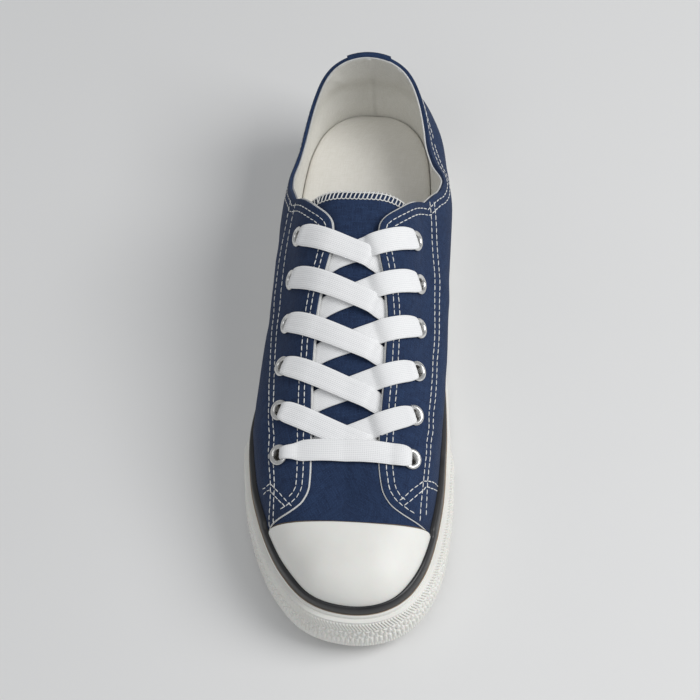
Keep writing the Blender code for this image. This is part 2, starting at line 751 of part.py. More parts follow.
def lace_run(start, end, lifts, steps=10):
    """Plan points and half widths of one straight lace run between two plan points."""
    start, end = np.array(start), np.array(end)
    way = end - start
    across = np.array([-way[1], way[0]]) / np.linalg.norm(way) * LACE_WIDTH / 2
    shares = np.linspace(0, 1, steps + 1)
    middle = [start + way * s for s in shares]
    knots, values = zip(*lifts)
    return middle, [across] * len(shares), smooth(np.array(knots), np.array(values), shares)


def build_laces():
    """The flat lace: a bar over the lowest row and five crossings above it, each a joined solid.

    Each run dives into its upper eyelet from outside. Its lower end comes out from under the other
    quarter, so here it stops at the throat's edge."""
    over = QUARTER_STEP + EYELET_SEAT + EYELET_RISE + GAP * 2 + LACE_SLACK
    on_canvas = QUARTER_STEP + GAP + LACE_SLACK
    on_tongue = -CANVAS_WALL - LACE_ROOM + GAP + LACE_SLACK

    def seat(row, side):
        along, reach = EYELETS[row]
        return np.array((float(ridge_line(along)) + side * reach * BALL_WIDTH, along * SOLE_LENGTH))

    bar = ((0, over), (0.12, over), (0.22, on_canvas), (0.78, on_canvas), (0.88, over), (1, over))
    strip("lace_bar", *lace_run(seat(-1, LATERAL), seat(-1, MEDIAL), bar), LACE_WALL)
    for row in range(len(EYELETS) - 1):
        runs = []
        for side in (LATERAL, MEDIAL):
            along = EYELETS[row + 1][0] + LACE_LEAD / SOLE_LENGTH
            edge = float(column(THROAT, THROAT_COLUMNS, "reach", along)) * BALL_WIDTH - LACE_STOP
            end = np.array((float(ridge_line(along)) - side * edge, along * SOLE_LENGTH))
            own = float(column(THROAT, THROAT_COLUMNS, "reach", EYELETS[row][0])) * BALL_WIDTH
            length = EYELETS[row][1] * BALL_WIDTH + edge
            leave = (length - edge - own) / length + 0.06
            crossed = (length - edge) / length
            cross = on_tongue + (1.6 if side == LATERAL else 0.5) * LACE_WALL
            lifts = (
                (0, over),
                (0.12, over),
                (0.25, on_canvas),
                (leave, on_canvas),
                (crossed, cross),
                (1, on_tongue),
            )
            runs.append(strip(f"lace_{row + 1}_{side}", *lace_run(seat(row, side), end, lifts), LACE_WALL))
        runs[0].name = f"lace_crossing_{row + 1}"
        runs[1].hide_render = True
        runs[1].display_type = "WIRE"
        PARTS.objects.unlink(runs[1])
        CUTTERS.objects.link(runs[1])
        joined = runs[0].modifiers.new("crossing", "BOOLEAN")
        joined.operation, joined.object = "UNION", runs[1]


def build_tongue():
    """The canvas tongue, sewn under the vamp's back edge and free at its top."""
    low, high = [], []
    for share in (-1, -0.75, -0.4, 0, 0.4, 0.75, 1):
        row_low, row_high = [], []
        for along in (TONGUE_FROM, *np.linspace(TONGUE_FROM + TONGUE_DIVE, TONGUE_TO, 12)):
            part = (along - TONGUE_FROM) / (TONGUE_TO - TONGUE_FROM)
            half = TONGUE_WIDTH / 2 * (0.82 + 0.18 * part)
            corner = 1 - 0.10 * share**4 * max(0, (part - 0.8) / 0.2)
            y = (TONGUE_FROM + (along - TONGUE_FROM) * corner) * SOLE_LENGTH
            x = float(ridge_line(along)) + share * half
            room = GAP + (LACE_ROOM - GAP) * min(1, (along - TONGUE_FROM) / TONGUE_DIVE)
            top, normal = drape(x, y, -CANVAS_WALL - room)
            row_high.append(top)
            row_low.append(top - normal * TONGUE_WALL)
        low.append(row_low)
        high.append(row_high)
    shell("tongue", np.array(high), np.array(low), "canvas", looped=False)


def build_insole():
    """The bare insole on the bed of the foot, a little dished at its edges."""

    def edge(along):
        return inset(along) + 2 * GAP + QUARTER_STEP + CANVAS_WALL

    plate("insole", edge, lambda a: bed(a) + GAP, lambda a: bed(a) + GAP + INSOLE_WALL, "insole", INSOLE_DISH)


def build_heel_stay():
    """The canvas strip over the back seam, from the stripe to the topline."""
    back = range(HALF - STAY_STEPS, HALF + STAY_STEPS + 1)
    rows = [angle[back] for angle in quarter_angles()]
    phi, side = PHI[back], SIDE[back]
    rows[0] = rows[0] * 0.9 + rows[1] * 0.1
    low = [last(phi, side, angle, QUARTER_STEP + GAP) for angle in rows]
    high = [last(phi, side, angle, QUARTER_STEP + GAP + HEEL_STAY_WALL) for angle in rows]
    shell("heel_stay", np.array(high), np.array(low), "canvas", looped=False)


for leftover in list(bpy.data.objects):
    bpy.data.objects.remove(leftover)
PARTS = bpy.data.collections.new("canvas_sneaker")
CUTTERS = bpy.data.collections.new("cutters")
for group in (PARTS, CUTTERS):
    bpy.context.scene.collection.children.link(group)
TREE = last_tree()

build_outsole()
build_insole()
build_upper()
build_toe_cap()
build_heel_stay()
build_tongue()
build_foxing()
build_stripe()
build_bumper()
build_eyelets()
build_laces()
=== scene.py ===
import math

import bmesh
import bpy
import numpy as np
from mathutils import Matrix, Quaternion, Vector
from mathutils.bvhtree import BVHTree


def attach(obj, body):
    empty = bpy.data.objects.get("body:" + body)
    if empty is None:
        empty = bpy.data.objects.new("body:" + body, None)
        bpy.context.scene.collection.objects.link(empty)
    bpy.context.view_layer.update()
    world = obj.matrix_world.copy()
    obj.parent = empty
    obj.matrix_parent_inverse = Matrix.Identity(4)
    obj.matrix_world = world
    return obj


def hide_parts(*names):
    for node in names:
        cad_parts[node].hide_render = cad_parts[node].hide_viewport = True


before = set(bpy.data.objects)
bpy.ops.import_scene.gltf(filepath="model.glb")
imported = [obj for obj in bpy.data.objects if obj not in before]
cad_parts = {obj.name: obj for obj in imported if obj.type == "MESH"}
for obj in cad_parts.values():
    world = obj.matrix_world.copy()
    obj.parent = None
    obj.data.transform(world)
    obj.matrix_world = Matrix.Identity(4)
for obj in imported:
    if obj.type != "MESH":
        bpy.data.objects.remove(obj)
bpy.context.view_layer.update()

# The upper's vamp. Navy cotton canvas, backed with off-white lining cloth, is pulled over a wooden last
# and cemented under. The last is a table of sections along the shoe, so every piece that lies on
# the foot is lofted from it: phi runs round the sole's edge, theta climbs from the foxing to the ridge.
MM = 0.001
SOLE_LENGTH = 268 * MM
BALL_WIDTH = 88 * MM
INSTEP_HEIGHT = 86 * MM
TOE_SPRING = 6 * MM
SPRING_START = 0.28
FOXING_HEIGHT = 30 * MM
FOXING_WALL = 2.5 * MM
FLARE = 3 * MM
CANVAS_WALL = 1.6 * MM
QUARTER_STEP = 0.8 * MM
BULGE = 4 * MM
BULGE_RISE = 32 * MM
BUMPER_WALL = 2 * MM
FAN_TOE = 0.18
FAN_HEEL = 0.125
FAN_POWER = 3
VAMP_END = (0.25**FAN_POWER - FAN_TOE**FAN_POWER) ** (1 / FAN_POWER)
GAP = 0.3 * MM
CROWN = math.pi / 2
LATERAL, MEDIAL = -1, 1

# Sections of the last along the shoe: centre line, half width and ridge are shares of the ball's width, and
# flare, bed, foxing and crown are shares of their own sizes. The bulges swell the lower wall, belly sets how
# high, and power is the section's roundness.
SECTION_COLUMNS = (
    "along", "centre", "half", "ridge", "flare", "bed", "foxing", "crown", "outer_bulge", "inner_bulge",
    "belly", "power",
)
SECTIONS = (
    (0.000, 0.098, 0.000, 0.000, 1.10, 0.66, 0.76, 0.50, 0.00, 0.00, 1.00, 2.4),
    (0.010, 0.090, 0.164, 0.000, 1.10, 0.66, 0.76, 0.50, 0.00, 0.00, 1.00, 2.4),
    (0.025, 0.085, 0.244, 0.000, 1.10, 0.66, 0.76, 0.50, 0.00, 0.00, 1.00, 2.4),
    (0.050, 0.080, 0.316, 0.000, 1.10, 0.66, 0.76, 0.50, 0.00, 0.00, 1.00, 2.4),
    (0.100, 0.064, 0.402, 0.000, 1.00, 0.66, 0.77, 0.50, 0.00, 0.00, 1.00, 2.4),
    (0.160, 0.044, 0.458, 0.000, 0.90, 0.68, 0.78, 0.505, 0.05, 0.05, 1.00, 2.4),
    (0.240, 0.022, 0.494, 0.000, 0.65, 0.70, 0.79, 0.58, 0.30, 0.30, 1.00, 2.3),
    (0.320, 0.010, 0.502, 0.008, 0.40, 0.72, 0.80, 0.67, 0.45, 0.45, 1.00, 2.2),
    (0.400, 0.017, 0.484, 0.004, 0.30, 0.76, 0.82, 0.765, 0.70, 0.90, 1.00, 2.1),
    (0.500, 0.024, 0.446, 0.002, 0.30, 0.84, 0.86, 0.875, 1.10, 1.50, 1.10, 2.2),
    (0.600, 0.022, 0.424, 0.004, 0.30, 0.92, 0.90, 0.980, 1.10, 1.80, 1.25, 2.5),
    (0.700, 0.021, 0.420, 0.005, 0.30, 0.97, 0.94, 1.060, 0.80, 1.95, 1.45, 2.6),
    (0.750, 0.020, 0.414, 0.005, 0.30, 0.99, 0.955, 1.080, 0.65, 2.00, 1.42, 2.4),
    (0.800, 0.018, 0.408, 0.006, 0.30, 1.00, 0.97, 1.100, 0.40, 1.50, 1.00, 2.1),
    (0.870, 0.020, 0.388, 0.002, 0.30, 1.00, 0.99, 1.150, 0.20, 1.20, 0.78, 1.9),
    (0.930, 0.022, 0.338, 0.000, 0.30, 1.00, 1.00, 1.350, 0.20, 0.80, 0.78, 2.1),
    (0.970, 0.022, 0.254, 0.000, 0.30, 1.00, 1.00, 1.700, 0.50, 0.70, 0.90, 2.3),
    (0.990, 0.022, 0.160, 0.000, 0.30, 1.00, 1.00, 2.000, 0.60, 0.60, 0.90, 2.3),
    (1.000, 0.022, 0.000, 0.000, 0.30, 1.00, 1.00, 2.000, 0.60, 0.60, 0.90, 2.3),
)


def smooth(knots, values, at):
    """Monotone cubic through a table's rows, which never overshoots them."""
    step = np.diff(knots)
    slope = np.diff(values) / step
    tangent = np.zeros(len(knots))
    tangent[0], tangent[-1] = slope[0], slope[-1]
    rising = slope[:-1] * slope[1:] > 0
    wide, narrow = 2 * step[1:] + step[:-1], step[1:] + 2 * step[:-1]
    before, after = np.where(rising, slope[:-1], 1), np.where(rising, slope[1:], 1)
    tangent[1:-1] = np.where(rising, (wide + narrow) / (wide / before + narrow / after), 0)
    at = np.clip(at, knots[0], knots[-1])
    i = np.clip(np.searchsorted(knots, at, side="right") - 1, 0, len(step) - 1)
    t = (at - knots[i]) / step[i]
    start = (2 * t**3 - 3 * t**2 + 1) * values[i] + (t**3 - 2 * t**2 + t) * step[i] * tangent[i]
    return start + (3 * t**2 - 2 * t**3) * values[i + 1] + (t**3 - t**2) * step[i] * tangent[i + 1]


def table(rows, at, column=1):
    """A table's column, read between its rows by the first column."""
    rows = np.array(rows)
    return smooth(rows[:, 0], rows[:, column], np.asarray(at, float))


def section(name, along):
    """One of the last's measures at a share of the shoe's length."""
    return table(SECTIONS, along, SECTION_COLUMNS.index(name))


def ridge_line(along):
    """Where the ridge and the throat's middle run across the shoe."""
    return (section("centre", along) + section("ridge", along)) * BALL_WIDTH


def along_of(phi):
    """Share of the length at an angle round the sole's edge."""
    return (1 - np.cos(phi)) / 2


def spring(along):
    """How far the toe spring lifts the shoe off the floor."""
    return TOE_SPRING * np.clip((SPRING_START - along) / SPRING_START, 0, 1) ** 2


def outline(phi, side):
    """The sole's edge on the floor, round at both ends."""
    along = along_of(phi)
    rows = np.array(SECTIONS)
    half = rows[:, SECTION_COLUMNS.index("half")]
    width = np.sqrt(np.maximum(smooth(rows[:, 0], half**2, along), 0)) * np.sign(np.sin(phi))
    x = (section("centre", along) + side * width) * BALL_WIDTH
    return np.stack([x, along * SOLE_LENGTH], -1)


def outward(phi, side):
    """Unit normal of the outline in plan, away from the shoe."""
    tangent = outline(phi + 1e-3, side) - outline(phi - 1e-3, side)
    normal = np.stack([tangent[..., 1], -tangent[..., 0]], -1) * np.asarray(side)[..., None]
    return normal / np.linalg.norm(normal, axis=-1, keepdims=True)


def inset(along):
    """From the sole's edge to the inner face of the foxing."""
    return FLARE * section("flare", along) + FOXING_WALL


def foxing_top(along):
    """Height of the foxing's top edge over the sole's line."""
    return FOXING_HEIGHT * section("foxing", along)


def fan(along):
    """Where on the ridge a section that starts at the outline's share along ends."""
    toe = (along**FAN_POWER + FAN_TOE**FAN_POWER) ** (1 / FAN_POWER) - along
    heel = ((1 - along) ** FAN_POWER + FAN_HEEL**FAN_POWER) ** (1 / FAN_POWER) - (1 - along)
    return along + toe - heel


def last_at(phi, side, theta):
    """The last's face: theta is 0 at the top of the foxing and a quarter turn on the ridge."""
    along = along_of(phi)
    crown = fan(along)
    normal = outward(phi, side)
    base = outline(phi, side) - normal * (inset(along) + GAP + QUARTER_STEP)[..., None]
    top = np.stack([ridge_line(crown), crown * SOLE_LENGTH], -1)
    power = 2 / section("power", along)
    rise = np.sin(theta) ** power
    inward = 1 - np.cos(theta) ** power
    foot = foxing_top(along)
    height = (INSTEP_HEIGHT * section("crown", crown) - foot) * rise
    swell = np.sin(math.pi * np.clip(height / (BULGE_RISE * section("belly", along)), 0, 1)) ** 2
    bulge = np.where(side > 0, section("inner_bulge", along), section("outer_bulge", along))
    plan = base + (top - base) * inward[..., None] + normal * (swell * BULGE * bulge)[..., None]
    level = foot + height + spring(plan[..., 1] / SOLE_LENGTH)
    return np.concatenate([plan, level[..., None]], -1)


def last_normal(phi, side, theta):
    """Unit normals of the last's face."""
    low = np.clip(theta - 2e-3, 1e-4, CROWN - 2e-3)
    up = last_at(phi, side, low + 2e-3) - last_at(phi, side, low)
    round_toe = last_at(phi + 2e-3, side, theta) - last_at(phi - 2e-3, side, theta)
    normal = np.cross(up, round_toe) * -side[..., None]
    fore, aft = fan(along_of(phi)) - 1e-3, fan(along_of(phi)) + 1e-3
    rise = INSTEP_HEIGHT * (section("crown", aft) - section("crown", fore)) + spring(aft) - spring(fore)
    ridge = np.stack([np.zeros(phi.shape), -rise, np.full(phi.shape, 2e-3 * SOLE_LENGTH)], -1)
    near = np.clip((theta - CROWN + 0.03) / 0.03, 0, 1)[..., None]
    normal /= np.linalg.norm(normal, axis=-1, keepdims=True) + 1e-12
    ridge /= np.linalg.norm(ridge, axis=-1, keepdims=True)
    normal = normal * (1 - near) + ridge * near
    return normal / np.linalg.norm(normal, axis=-1, keepdims=True)


def last(phi, side, theta, lift=0.0):
    """The last's face moved out along its normal by lift."""
    phi, side, theta, lift = (np.asarray(v, float) for v in np.broadcast_arrays(phi, side, theta, lift))
    return last_at(phi, side, theta) + last_normal(phi, side, theta) * lift[..., None]


def run_along(points):
    """Distance run along a line of points."""
    return np.concatenate([[0], np.linalg.norm(np.diff(points, axis=0), axis=1).cumsum()])


def stretch(first, final, steps):
    """Angles phi between two shares of the length, evenly spaced along the outline."""
    fine = np.linspace(*np.arccos(1 - 2 * np.array([first, final])), 400)
    run = run_along(outline(fine, np.full(400, MEDIAL)))
    return np.interp(np.linspace(0, run[-1], steps + 1), run, fine)


def stations(*stretches):
    """Angles along one side, from several stretches of (first, final, steps)."""
    return np.concatenate([stretch(*s)[(1 if k else 0) :] for k, s in enumerate(stretches)])


whole_side = np.linspace(0, math.pi, 400)
outer_edge = outline(whole_side, np.full(400, LATERAL))[:, 0]
inner_edge = outline(whole_side, np.full(400, MEDIAL))[:, 0]
REST = np.array([-(inner_edge.max() + outer_edge.min()) / 2, -(SOLE_LENGTH - BUMPER_WALL) / 2, 0])


def runs(points, axis):
    """Distance run along a grid of points, down its rows or along them."""
    step = np.linalg.norm(np.diff(points, axis=axis), axis=-1)
    start = np.zeros_like(np.take(step, [0], axis))
    return np.concatenate([start, np.cumsum(step, axis)], axis)


def grid_faces(count, width):
    """The four-cornered faces of a grid of count rows with width points each."""
    corner = (np.arange(count - 1)[:, None] * width + np.arange(width - 1)).reshape(-1)
    return np.stack([corner, corner + 1, corner + width + 1, corner + width], -1)


def place_mesh(name, mesh):
    """A new object in the scene for a mesh."""
    piece = bpy.data.objects.new(name, mesh)
    bpy.context.scene.collection.objects.link(piece)
    return piece


def loft(name, points, materials, finish=None, ends=False, smooth_angle=40):
    """A piece from a grid of points, by row and station, its last row joined to its first.

    ends fills both ends of this tube, and finish gives each row of faces its material."""
    rows = np.concatenate([points, points[:1]])
    count, width = rows.shape[:2]
    across = runs(rows, 1)
    across -= across[:, [width // 2]]
    uv = np.stack([across, runs(rows, 0)], -1)
    quads = grid_faces(count, width)
    faces = quads.tolist()
    if ends:
        faces.append([j * width for j in range(count - 1)])
        faces.append([j * width + width - 1 for j in reversed(range(count - 1))])
    mesh = bpy.data.meshes.new(name)
    mesh.from_pydata((rows + REST).reshape(-1, 3).tolist(), [], faces)
    layer = mesh.uv_layers.new(name="cloth")
    vertex = np.zeros(len(mesh.loops), int)
    mesh.loops.foreach_get("vertex_index", vertex)
    layer.data.foreach_set("uv", uv.reshape(-1, 2)[vertex].reshape(-1).astype(np.float32))
    for one in materials:
        mesh.materials.append(one)
    if finish is not None:
        kind = np.broadcast_to(np.asarray(finish).reshape(count - 1, -1), (count - 1, width - 1)).reshape(-1)
        kind = np.concatenate([kind, np.full(len(faces) - len(quads), kind[0])])
        mesh.polygons.foreach_set("material_index", kind.astype(np.int32))
    work = bmesh.new()
    work.from_mesh(mesh)
    bmesh.ops.remove_doubles(work, verts=work.verts, dist=0.004 * MM)
    bmesh.ops.dissolve_degenerate(work, dist=0.002 * MM, edges=work.edges)
    bmesh.ops.recalc_face_normals(work, faces=work.faces)
    if work.calc_volume(signed=True) < 0:
        bmesh.ops.reverse_faces(work, faces=work.faces)
    work.to_mesh(mesh)
    work.free()
    mesh.shade_smooth()
    mesh.set_sharp_from_angle(angle=math.radians(smooth_angle))
    return place_mesh(name, mesh)


def dress(piece, nodes):
    """Rides the shoe and stands for its CAD nodes, which it hides."""
    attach(piece, "root")
    if nodes:
        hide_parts(*nodes)
    return piece


def step(tree, kind, settings=None, **inputs):
    """One shader node: inputs are sockets to link or values to set."""
    made = tree.nodes.new("ShaderNode" + kind)
    for key, value in (settings or {}).items():
        setattr(made, key, value)
    for key, value in inputs.items():
        socket = made.inputs[int(key[1:])] if key[0] == "_" else made.inputs[key.replace("_", " ")]
        if isinstance(value, bpy.types.NodeSocket):
            tree.links.new(value, socket)
        else:
            socket.default_value = value
    return made.outputs[0]


def maths(tree, operation, *values):
    """A shader node for one sum."""
    return step(tree, "Math", {"operation": operation}, **{f"_{k}": v for k, v in enumerate(values)})


def group(name, inputs, outputs):
    """An empty shader group, with its input node and output node."""
    made = bpy.data.node_groups.new(name, "ShaderNodeTree")
    for names, way in ((inputs, "INPUT"), (outputs, "OUTPUT")):
        for label, socket in names.items():
            made.interface.new_socket(name=label, in_out=way, socket_type="NodeSocket" + socket)
    return made, made.nodes.new("NodeGroupInput"), made.nodes.new("NodeGroupOutput")


def use(tree, made, **inputs):
    """A group placed in a material, with its own values."""
    placed = tree.nodes.new("ShaderNodeGroup")
    placed.node_tree = made
    for key, value in inputs.items():
        if isinstance(value, bpy.types.NodeSocket):
            tree.links.new(value, placed.inputs[key])
        else:
            placed.inputs[key].default_value = value
    return placed.outputs


def finish_of(name, **constants):
    """A material and its tree: constants are set on the Principled shader's own sockets."""
    made = bpy.data.materials.new(name)
    made.use_nodes = True
    shader = made.node_tree.nodes["Principled BSDF"]
    for key, value in constants.items():
        shader.inputs[key.replace("_", " ")].default_value = value
    return made, made.node_tree, shader


def blend(tree, amount, first, second):
    """A colour between two, by amount."""
    made = tree.nodes.new("ShaderNodeMix")
    made.data_type = "RGBA"
    for socket, value in ((made.inputs[0], amount), (made.inputs[6], first), (made.inputs[7], second)):
        if isinstance(value, bpy.types.NodeSocket):
            tree.links.new(value, socket)
        else:
            socket.default_value = value if isinstance(value, (int, float)) else (*value, 1)
    return made.outputs[2]


def feed(tree, shader, **values):
    """Links values to a shader's sockets."""
    for key, value in values.items():
        tree.links.new(value, shader.inputs[key.replace("_", " ")])


def object_place(tree):
    """Where a point is in its object, for patterns that fill space."""
    return tree.nodes.new("ShaderNodeTexCoord").outputs["Object"]


def axes(tree, vector):
    """The X, Y and Z sockets of a vector."""
    made = tree.nodes.new("ShaderNodeSeparateXYZ")
    tree.links.new(vector, made.inputs[0])
    return made.outputs


# Plain weave: warp and weft pass over each other in turn, each one a little thicker or paler than the next,
# and the colour tone is darkened in the hollows between them as painted shade.
WOVEN, entry, result = group(
    "plain weave",
    {"Vector": "Vector", "Pitch": "Float"},
    {"Height": "Float", "Yarn tone and weave shade": "Float"},
)
cloth_axes = axes(WOVEN, entry.outputs["Vector"])
warp_at = maths(WOVEN, "DIVIDE", cloth_axes[0], entry.outputs["Pitch"])
weft_at = maths(WOVEN, "DIVIDE", cloth_axes[1], entry.outputs["Pitch"])
warp_round = maths(WOVEN, "SINE", maths(WOVEN, "MULTIPLY", maths(WOVEN, "FRACT", warp_at), math.pi))
weft_round = maths(WOVEN, "SINE", maths(WOVEN, "MULTIPLY", maths(WOVEN, "FRACT", weft_at), math.pi))
pair = maths(WOVEN, "ADD", maths(WOVEN, "FLOOR", warp_at), maths(WOVEN, "FLOOR", weft_at))
over = maths(WOVEN, "MULTIPLY", maths(WOVEN, "FRACT", maths(WOVEN, "MULTIPLY", pair, 0.5)), 2.0)
warp_high = maths(WOVEN, "MULTIPLY", warp_round, maths(WOVEN, "SQRT", weft_round))
weft_high = maths(WOVEN, "MULTIPLY", weft_round, maths(WOVEN, "SQRT", warp_round))
knit = step(WOVEN, "Mix", Factor=over, _2=weft_high, _3=warp_high)
warp_yarn = step(
    WOVEN,
    "CombineXYZ",
    X=maths(WOVEN, "FLOOR", warp_at),
    Y=maths(WOVEN, "MULTIPLY", weft_at, 0.07),
)
weft_yarn = step(
    WOVEN,
    "CombineXYZ",
    X=maths(WOVEN, "MULTIPLY", warp_at, 0.07),
    Y=maths(WOVEN, "FLOOR", weft_at),
    Z=7.0,
)
warp_tone = step(WOVEN, "TexNoise", Vector=warp_yarn, Scale=1.9, Detail=1.0)
weft_tone = step(WOVEN, "TexNoise", Vector=weft_yarn, Scale=1.9, Detail=1.0)
tone = step(WOVEN, "Mix", Factor=over, _2=weft_tone, _3=warp_tone)
WOVEN.links.new(
    maths(WOVEN, "ADD", knit, maths(WOVEN, "MULTIPLY", tone, 0.5)),
    result.inputs["Height"],
)
# Painted shade: the tone output is darkened where the weave is low, in the hollows between crossing yarns.
WOVEN.links.new(
    maths(WOVEN, "MULTIPLY", tone, maths(WOVEN, "ADD", maths(WOVEN, "MULTIPLY", knit, 0.7), 0.55)),
    result.inputs["Yarn tone and weave shade"],
)

# Soft clouding that breaks up any even surface, at the size its material gives.
CLOUDED, entry, result = group("clouding", {"Vector": "Vector", "Size": "Float"}, {"Mask": "Float"})
scale = maths(CLOUDED, "DIVIDE", 1.0, entry.outputs["Size"])
clouds = step(CLOUDED, "TexNoise", Vector=entry.outputs["Vector"], Scale=scale, Detail=4.0, Roughness=0.55)
CLOUDED.links.new(
    step(CLOUDED, "MapRange", Value=clouds, From_Min=0.3, From_Max=0.7),
    result.inputs["Mask"],
)


def woven_cloth(name, dark, pale, pitch, depth, **constants):
    """A canvas: yarns between a dark and a pale tone, darkened in the weave's hollows as painted shade,
    clouded a little, with the weave as relief.
    """
    made, tree, shader = finish_of(name, **constants)
    cloth_map = step(tree, "UVMap", {"uv_map": "cloth"})
    placed = object_place(tree)
    weave = use(tree, WOVEN, Vector=cloth_map, Pitch=pitch)
    cloud = use(tree, CLOUDED, Vector=placed, Size=0.035)["Mask"]
    # The tone carries painted shade in the weave's hollows as well as the yarns' own tones.
    yarn_and_weave_shade = step(tree, "MapRange", Value=weave["Yarn tone and weave shade"], From_Min=0.2, From_Max=0.75)
    colour = blend(tree, yarn_and_weave_shade, dark, pale)
    shade = maths(tree, "MULTIPLY", cloud, 0.16)
    colour = blend(tree, shade, colour, tuple(c * 0.6 for c in dark))
    feed(tree, shader, Base_Color=colour)
    bump = step(tree, "Bump", Height=weave["Height"], Distance=depth, Strength=0.9)
    feed(tree, shader, Normal=bump)
    return made


NAVY = woven_cloth(
    "navy canvas",
    (0.0092, 0.0195, 0.056),
    (0.028, 0.058, 0.138),
    0.56 * MM,
    0.10 * MM,
    Roughness=0.86,
    Specular_IOR_Level=0.25,
    Sheen_Weight=0.05,
    Sheen_Roughness=0.5,
)
LINING = woven_cloth(
    "lining cloth",
    (0.76, 0.745, 0.69),
    (0.90, 0.89, 0.845),
    0.42 * MM,
    0.06 * MM,
    Roughness=0.9,
    Specular_IOR_Level=0.2,
)
# The creases of a worn-in vamp and quarter: share of the length, distance off the ridge
# line, turn from straight across in degrees, half length, half width and depth (a ridge is negative).
CREASES = (
    (0.205, -4, 4, 26, 4.5, 0.28),
    (0.228, 8, -6, 22, 4.0, -0.22),
    (0.190, 22, 28, 12, 3.5, 0.22),
    (0.196, -24, -30, 12, 3.5, 0.24),
    (0.290, 33, 12, 13, 4.0, 0.40),
    (0.312, 34, 8, 12, 4.0, -0.35),
    (0.338, 35, -4, 13, 4.5, 0.38),
    (0.285, -32, -14, 13, 4.0, 0.42),
    (0.310, -33, -6, 12, 4.2, -0.36),
    (0.345, -34, 6, 13, 4.5, 0.40),
    (0.430, 34, -12, 12, 5.0, 0.35),
    (0.505, -33, 10, 13, 5.0, 0.38),
    (0.560, 33, -16, 14, 5.5, -0.40),
    (0.640, -32, 20, 15, 5.5, 0.45),
    (0.760, 33, 10, 15, 6.0, 0.55),
    (0.790, 33, 14, 16, 5.0, -0.35),
    (0.830, -32, -16, 16, 6.0, 0.50),
)


def relief(points):
    """How far the creases lift the canvas at points of the last."""
    lift = np.zeros(points.shape[:-1])
    along = points[..., 1] / SOLE_LENGTH
    off = points[..., 0] - ridge_line(along)
    wall = np.where(along > 0.18, np.sign(off) * (np.abs(off) + 0.6 * (80 * MM - points[..., 2])), off)
    for share, reach, turn, long, wide, depth in CREASES:
        mid = reach if share < 0.24 else reach + math.copysign(0.6 * 36, reach)
        dx, dy = wall - mid * MM, points[..., 1] - share * SOLE_LENGTH
        cos, sin = math.cos(math.radians(turn)), math.sin(math.radians(turn))
        far = ((dx * cos + dy * sin) / (long * MM)) ** 2 + ((dy * cos - dx * sin) / (wide * MM)) ** 2
        lift -= depth * MM * np.exp(-far)
    return lift


def over_ridge(climb):
    """Sides and angles from the lateral foot of the last, over its ridge, to the medial foot."""
    return [(-1.0, theta) for theta in climb] + [(1.0, theta) for theta in climb[-2::-1]]


vamp_phi = stations((0.0, 0.02, 16), (0.02, VAMP_END, 130))
over = over_ridge(np.linspace(0, CROWN, 52))
outer, inner = [], []
for side, theta in over:
    sides = np.full(len(vamp_phi), side)
    creased = relief(last_at(vamp_phi, sides, np.full(len(sides), theta)))
    outer.append(last(vamp_phi, sides, theta, creased))
    inner.append(last(vamp_phi, sides, theta, -CANVAS_WALL + 0.15 * MM))
outer, inner = np.array(outer), np.array(inner)
closing = (outer[:, -1:] + inner[:, -1:]) / 2
vamp = loft(
    "vamp",
    np.concatenate([np.hstack([outer, closing]), np.hstack([inner, closing])[::-1]]),
    [NAVY, LINING],
    [0] * (len(over) - 1) + [1] * (len(over) + 1),
)
dress(vamp, ["upper"])

# The quarters. Two canvas sides meet at the back seam and lie on the vamp's edge. Their raw rim shows a
# navy outer cloth, then the white edge of the lining, and twelve eyelet holes are punched through.
HEEL_HEIGHT = 77 * MM
STRIPE_HEIGHT = 3.6 * MM
QUARTER_FOOT = 20 * MM
FRONT_FOOT = 0.1513
FRONT_COLUMNS = 64

# The quarters' front edge, throat and topline, and the eyelets, as shares of the shoe's sizes.
THROAT = (
    (0.151, 0.480), (0.154, 0.400), (0.158, 0.330), (0.165, 0.265), (0.178, 0.208), (0.200, 0.176),
    (0.240, 0.166), (0.308, 0.170), (0.375, 0.176), (0.445, 0.176), (0.513, 0.153), (0.577, 0.112),
    (0.600, 0.110), (0.612, 0.124), (0.623, 0.168), (0.632, 0.200), (0.640, 0.230),
)
TOPLINE = (
    (0.630, 1.120), (0.640, 1.048), (0.650, 1.028), (0.660, 1.000), (0.670, 0.960), (0.681, 0.912),
    (0.695, 0.862), (0.715, 0.815), (0.750, 0.757), (0.800, 0.712), (0.850, 0.715), (0.900, 0.790),
    (0.950, 0.925), (0.985, 1.040), (1.000, 1.060),
)
EYELETS = (
    (0.599, 0.274), (0.537, 0.300), (0.465, 0.308), (0.394, 0.314), (0.322, 0.314), (0.252, 0.308),
)

RAW_EDGE = woven_cloth(
    "raw canvas edge",
    (0.66, 0.66, 0.64),
    (0.88, 0.88, 0.87),
    0.5 * MM,
    0.12 * MM,
    Roughness=0.9,
    Specular_IOR_Level=0.2,
)


def ring(phi, side, out, height):
    """Points beside the sole's edge, out from it in plan, at a height over the floor."""
    plan = outline(phi, side) + outward(phi, side) * np.broadcast_to(out, np.shape(phi))[..., None]
    return np.column_stack([plan, height + spring(plan[:, 1] / SOLE_LENGTH)])


def theta_where(inside, phi, side):
    """The angle up each section at which inside(point) stops holding, by halving."""
    low, high = np.zeros(len(phi)), np.full(len(phi), CROWN)
    for _ in range(32):
        middle = (low + high) / 2
        holds = inside(last_at(phi, side, middle))
        low, high = np.where(holds, middle, low), np.where(holds, high, middle)
    return low


def band_theta(phi, side, height):
    """Angle up each section at which the last is height over the foxing's top edge."""
    level = foxing_top(along_of(phi)) + height
    return theta_where(lambda p: p[:, 2] < level + spring(p[:, 1] / SOLE_LENGTH), phi, side)


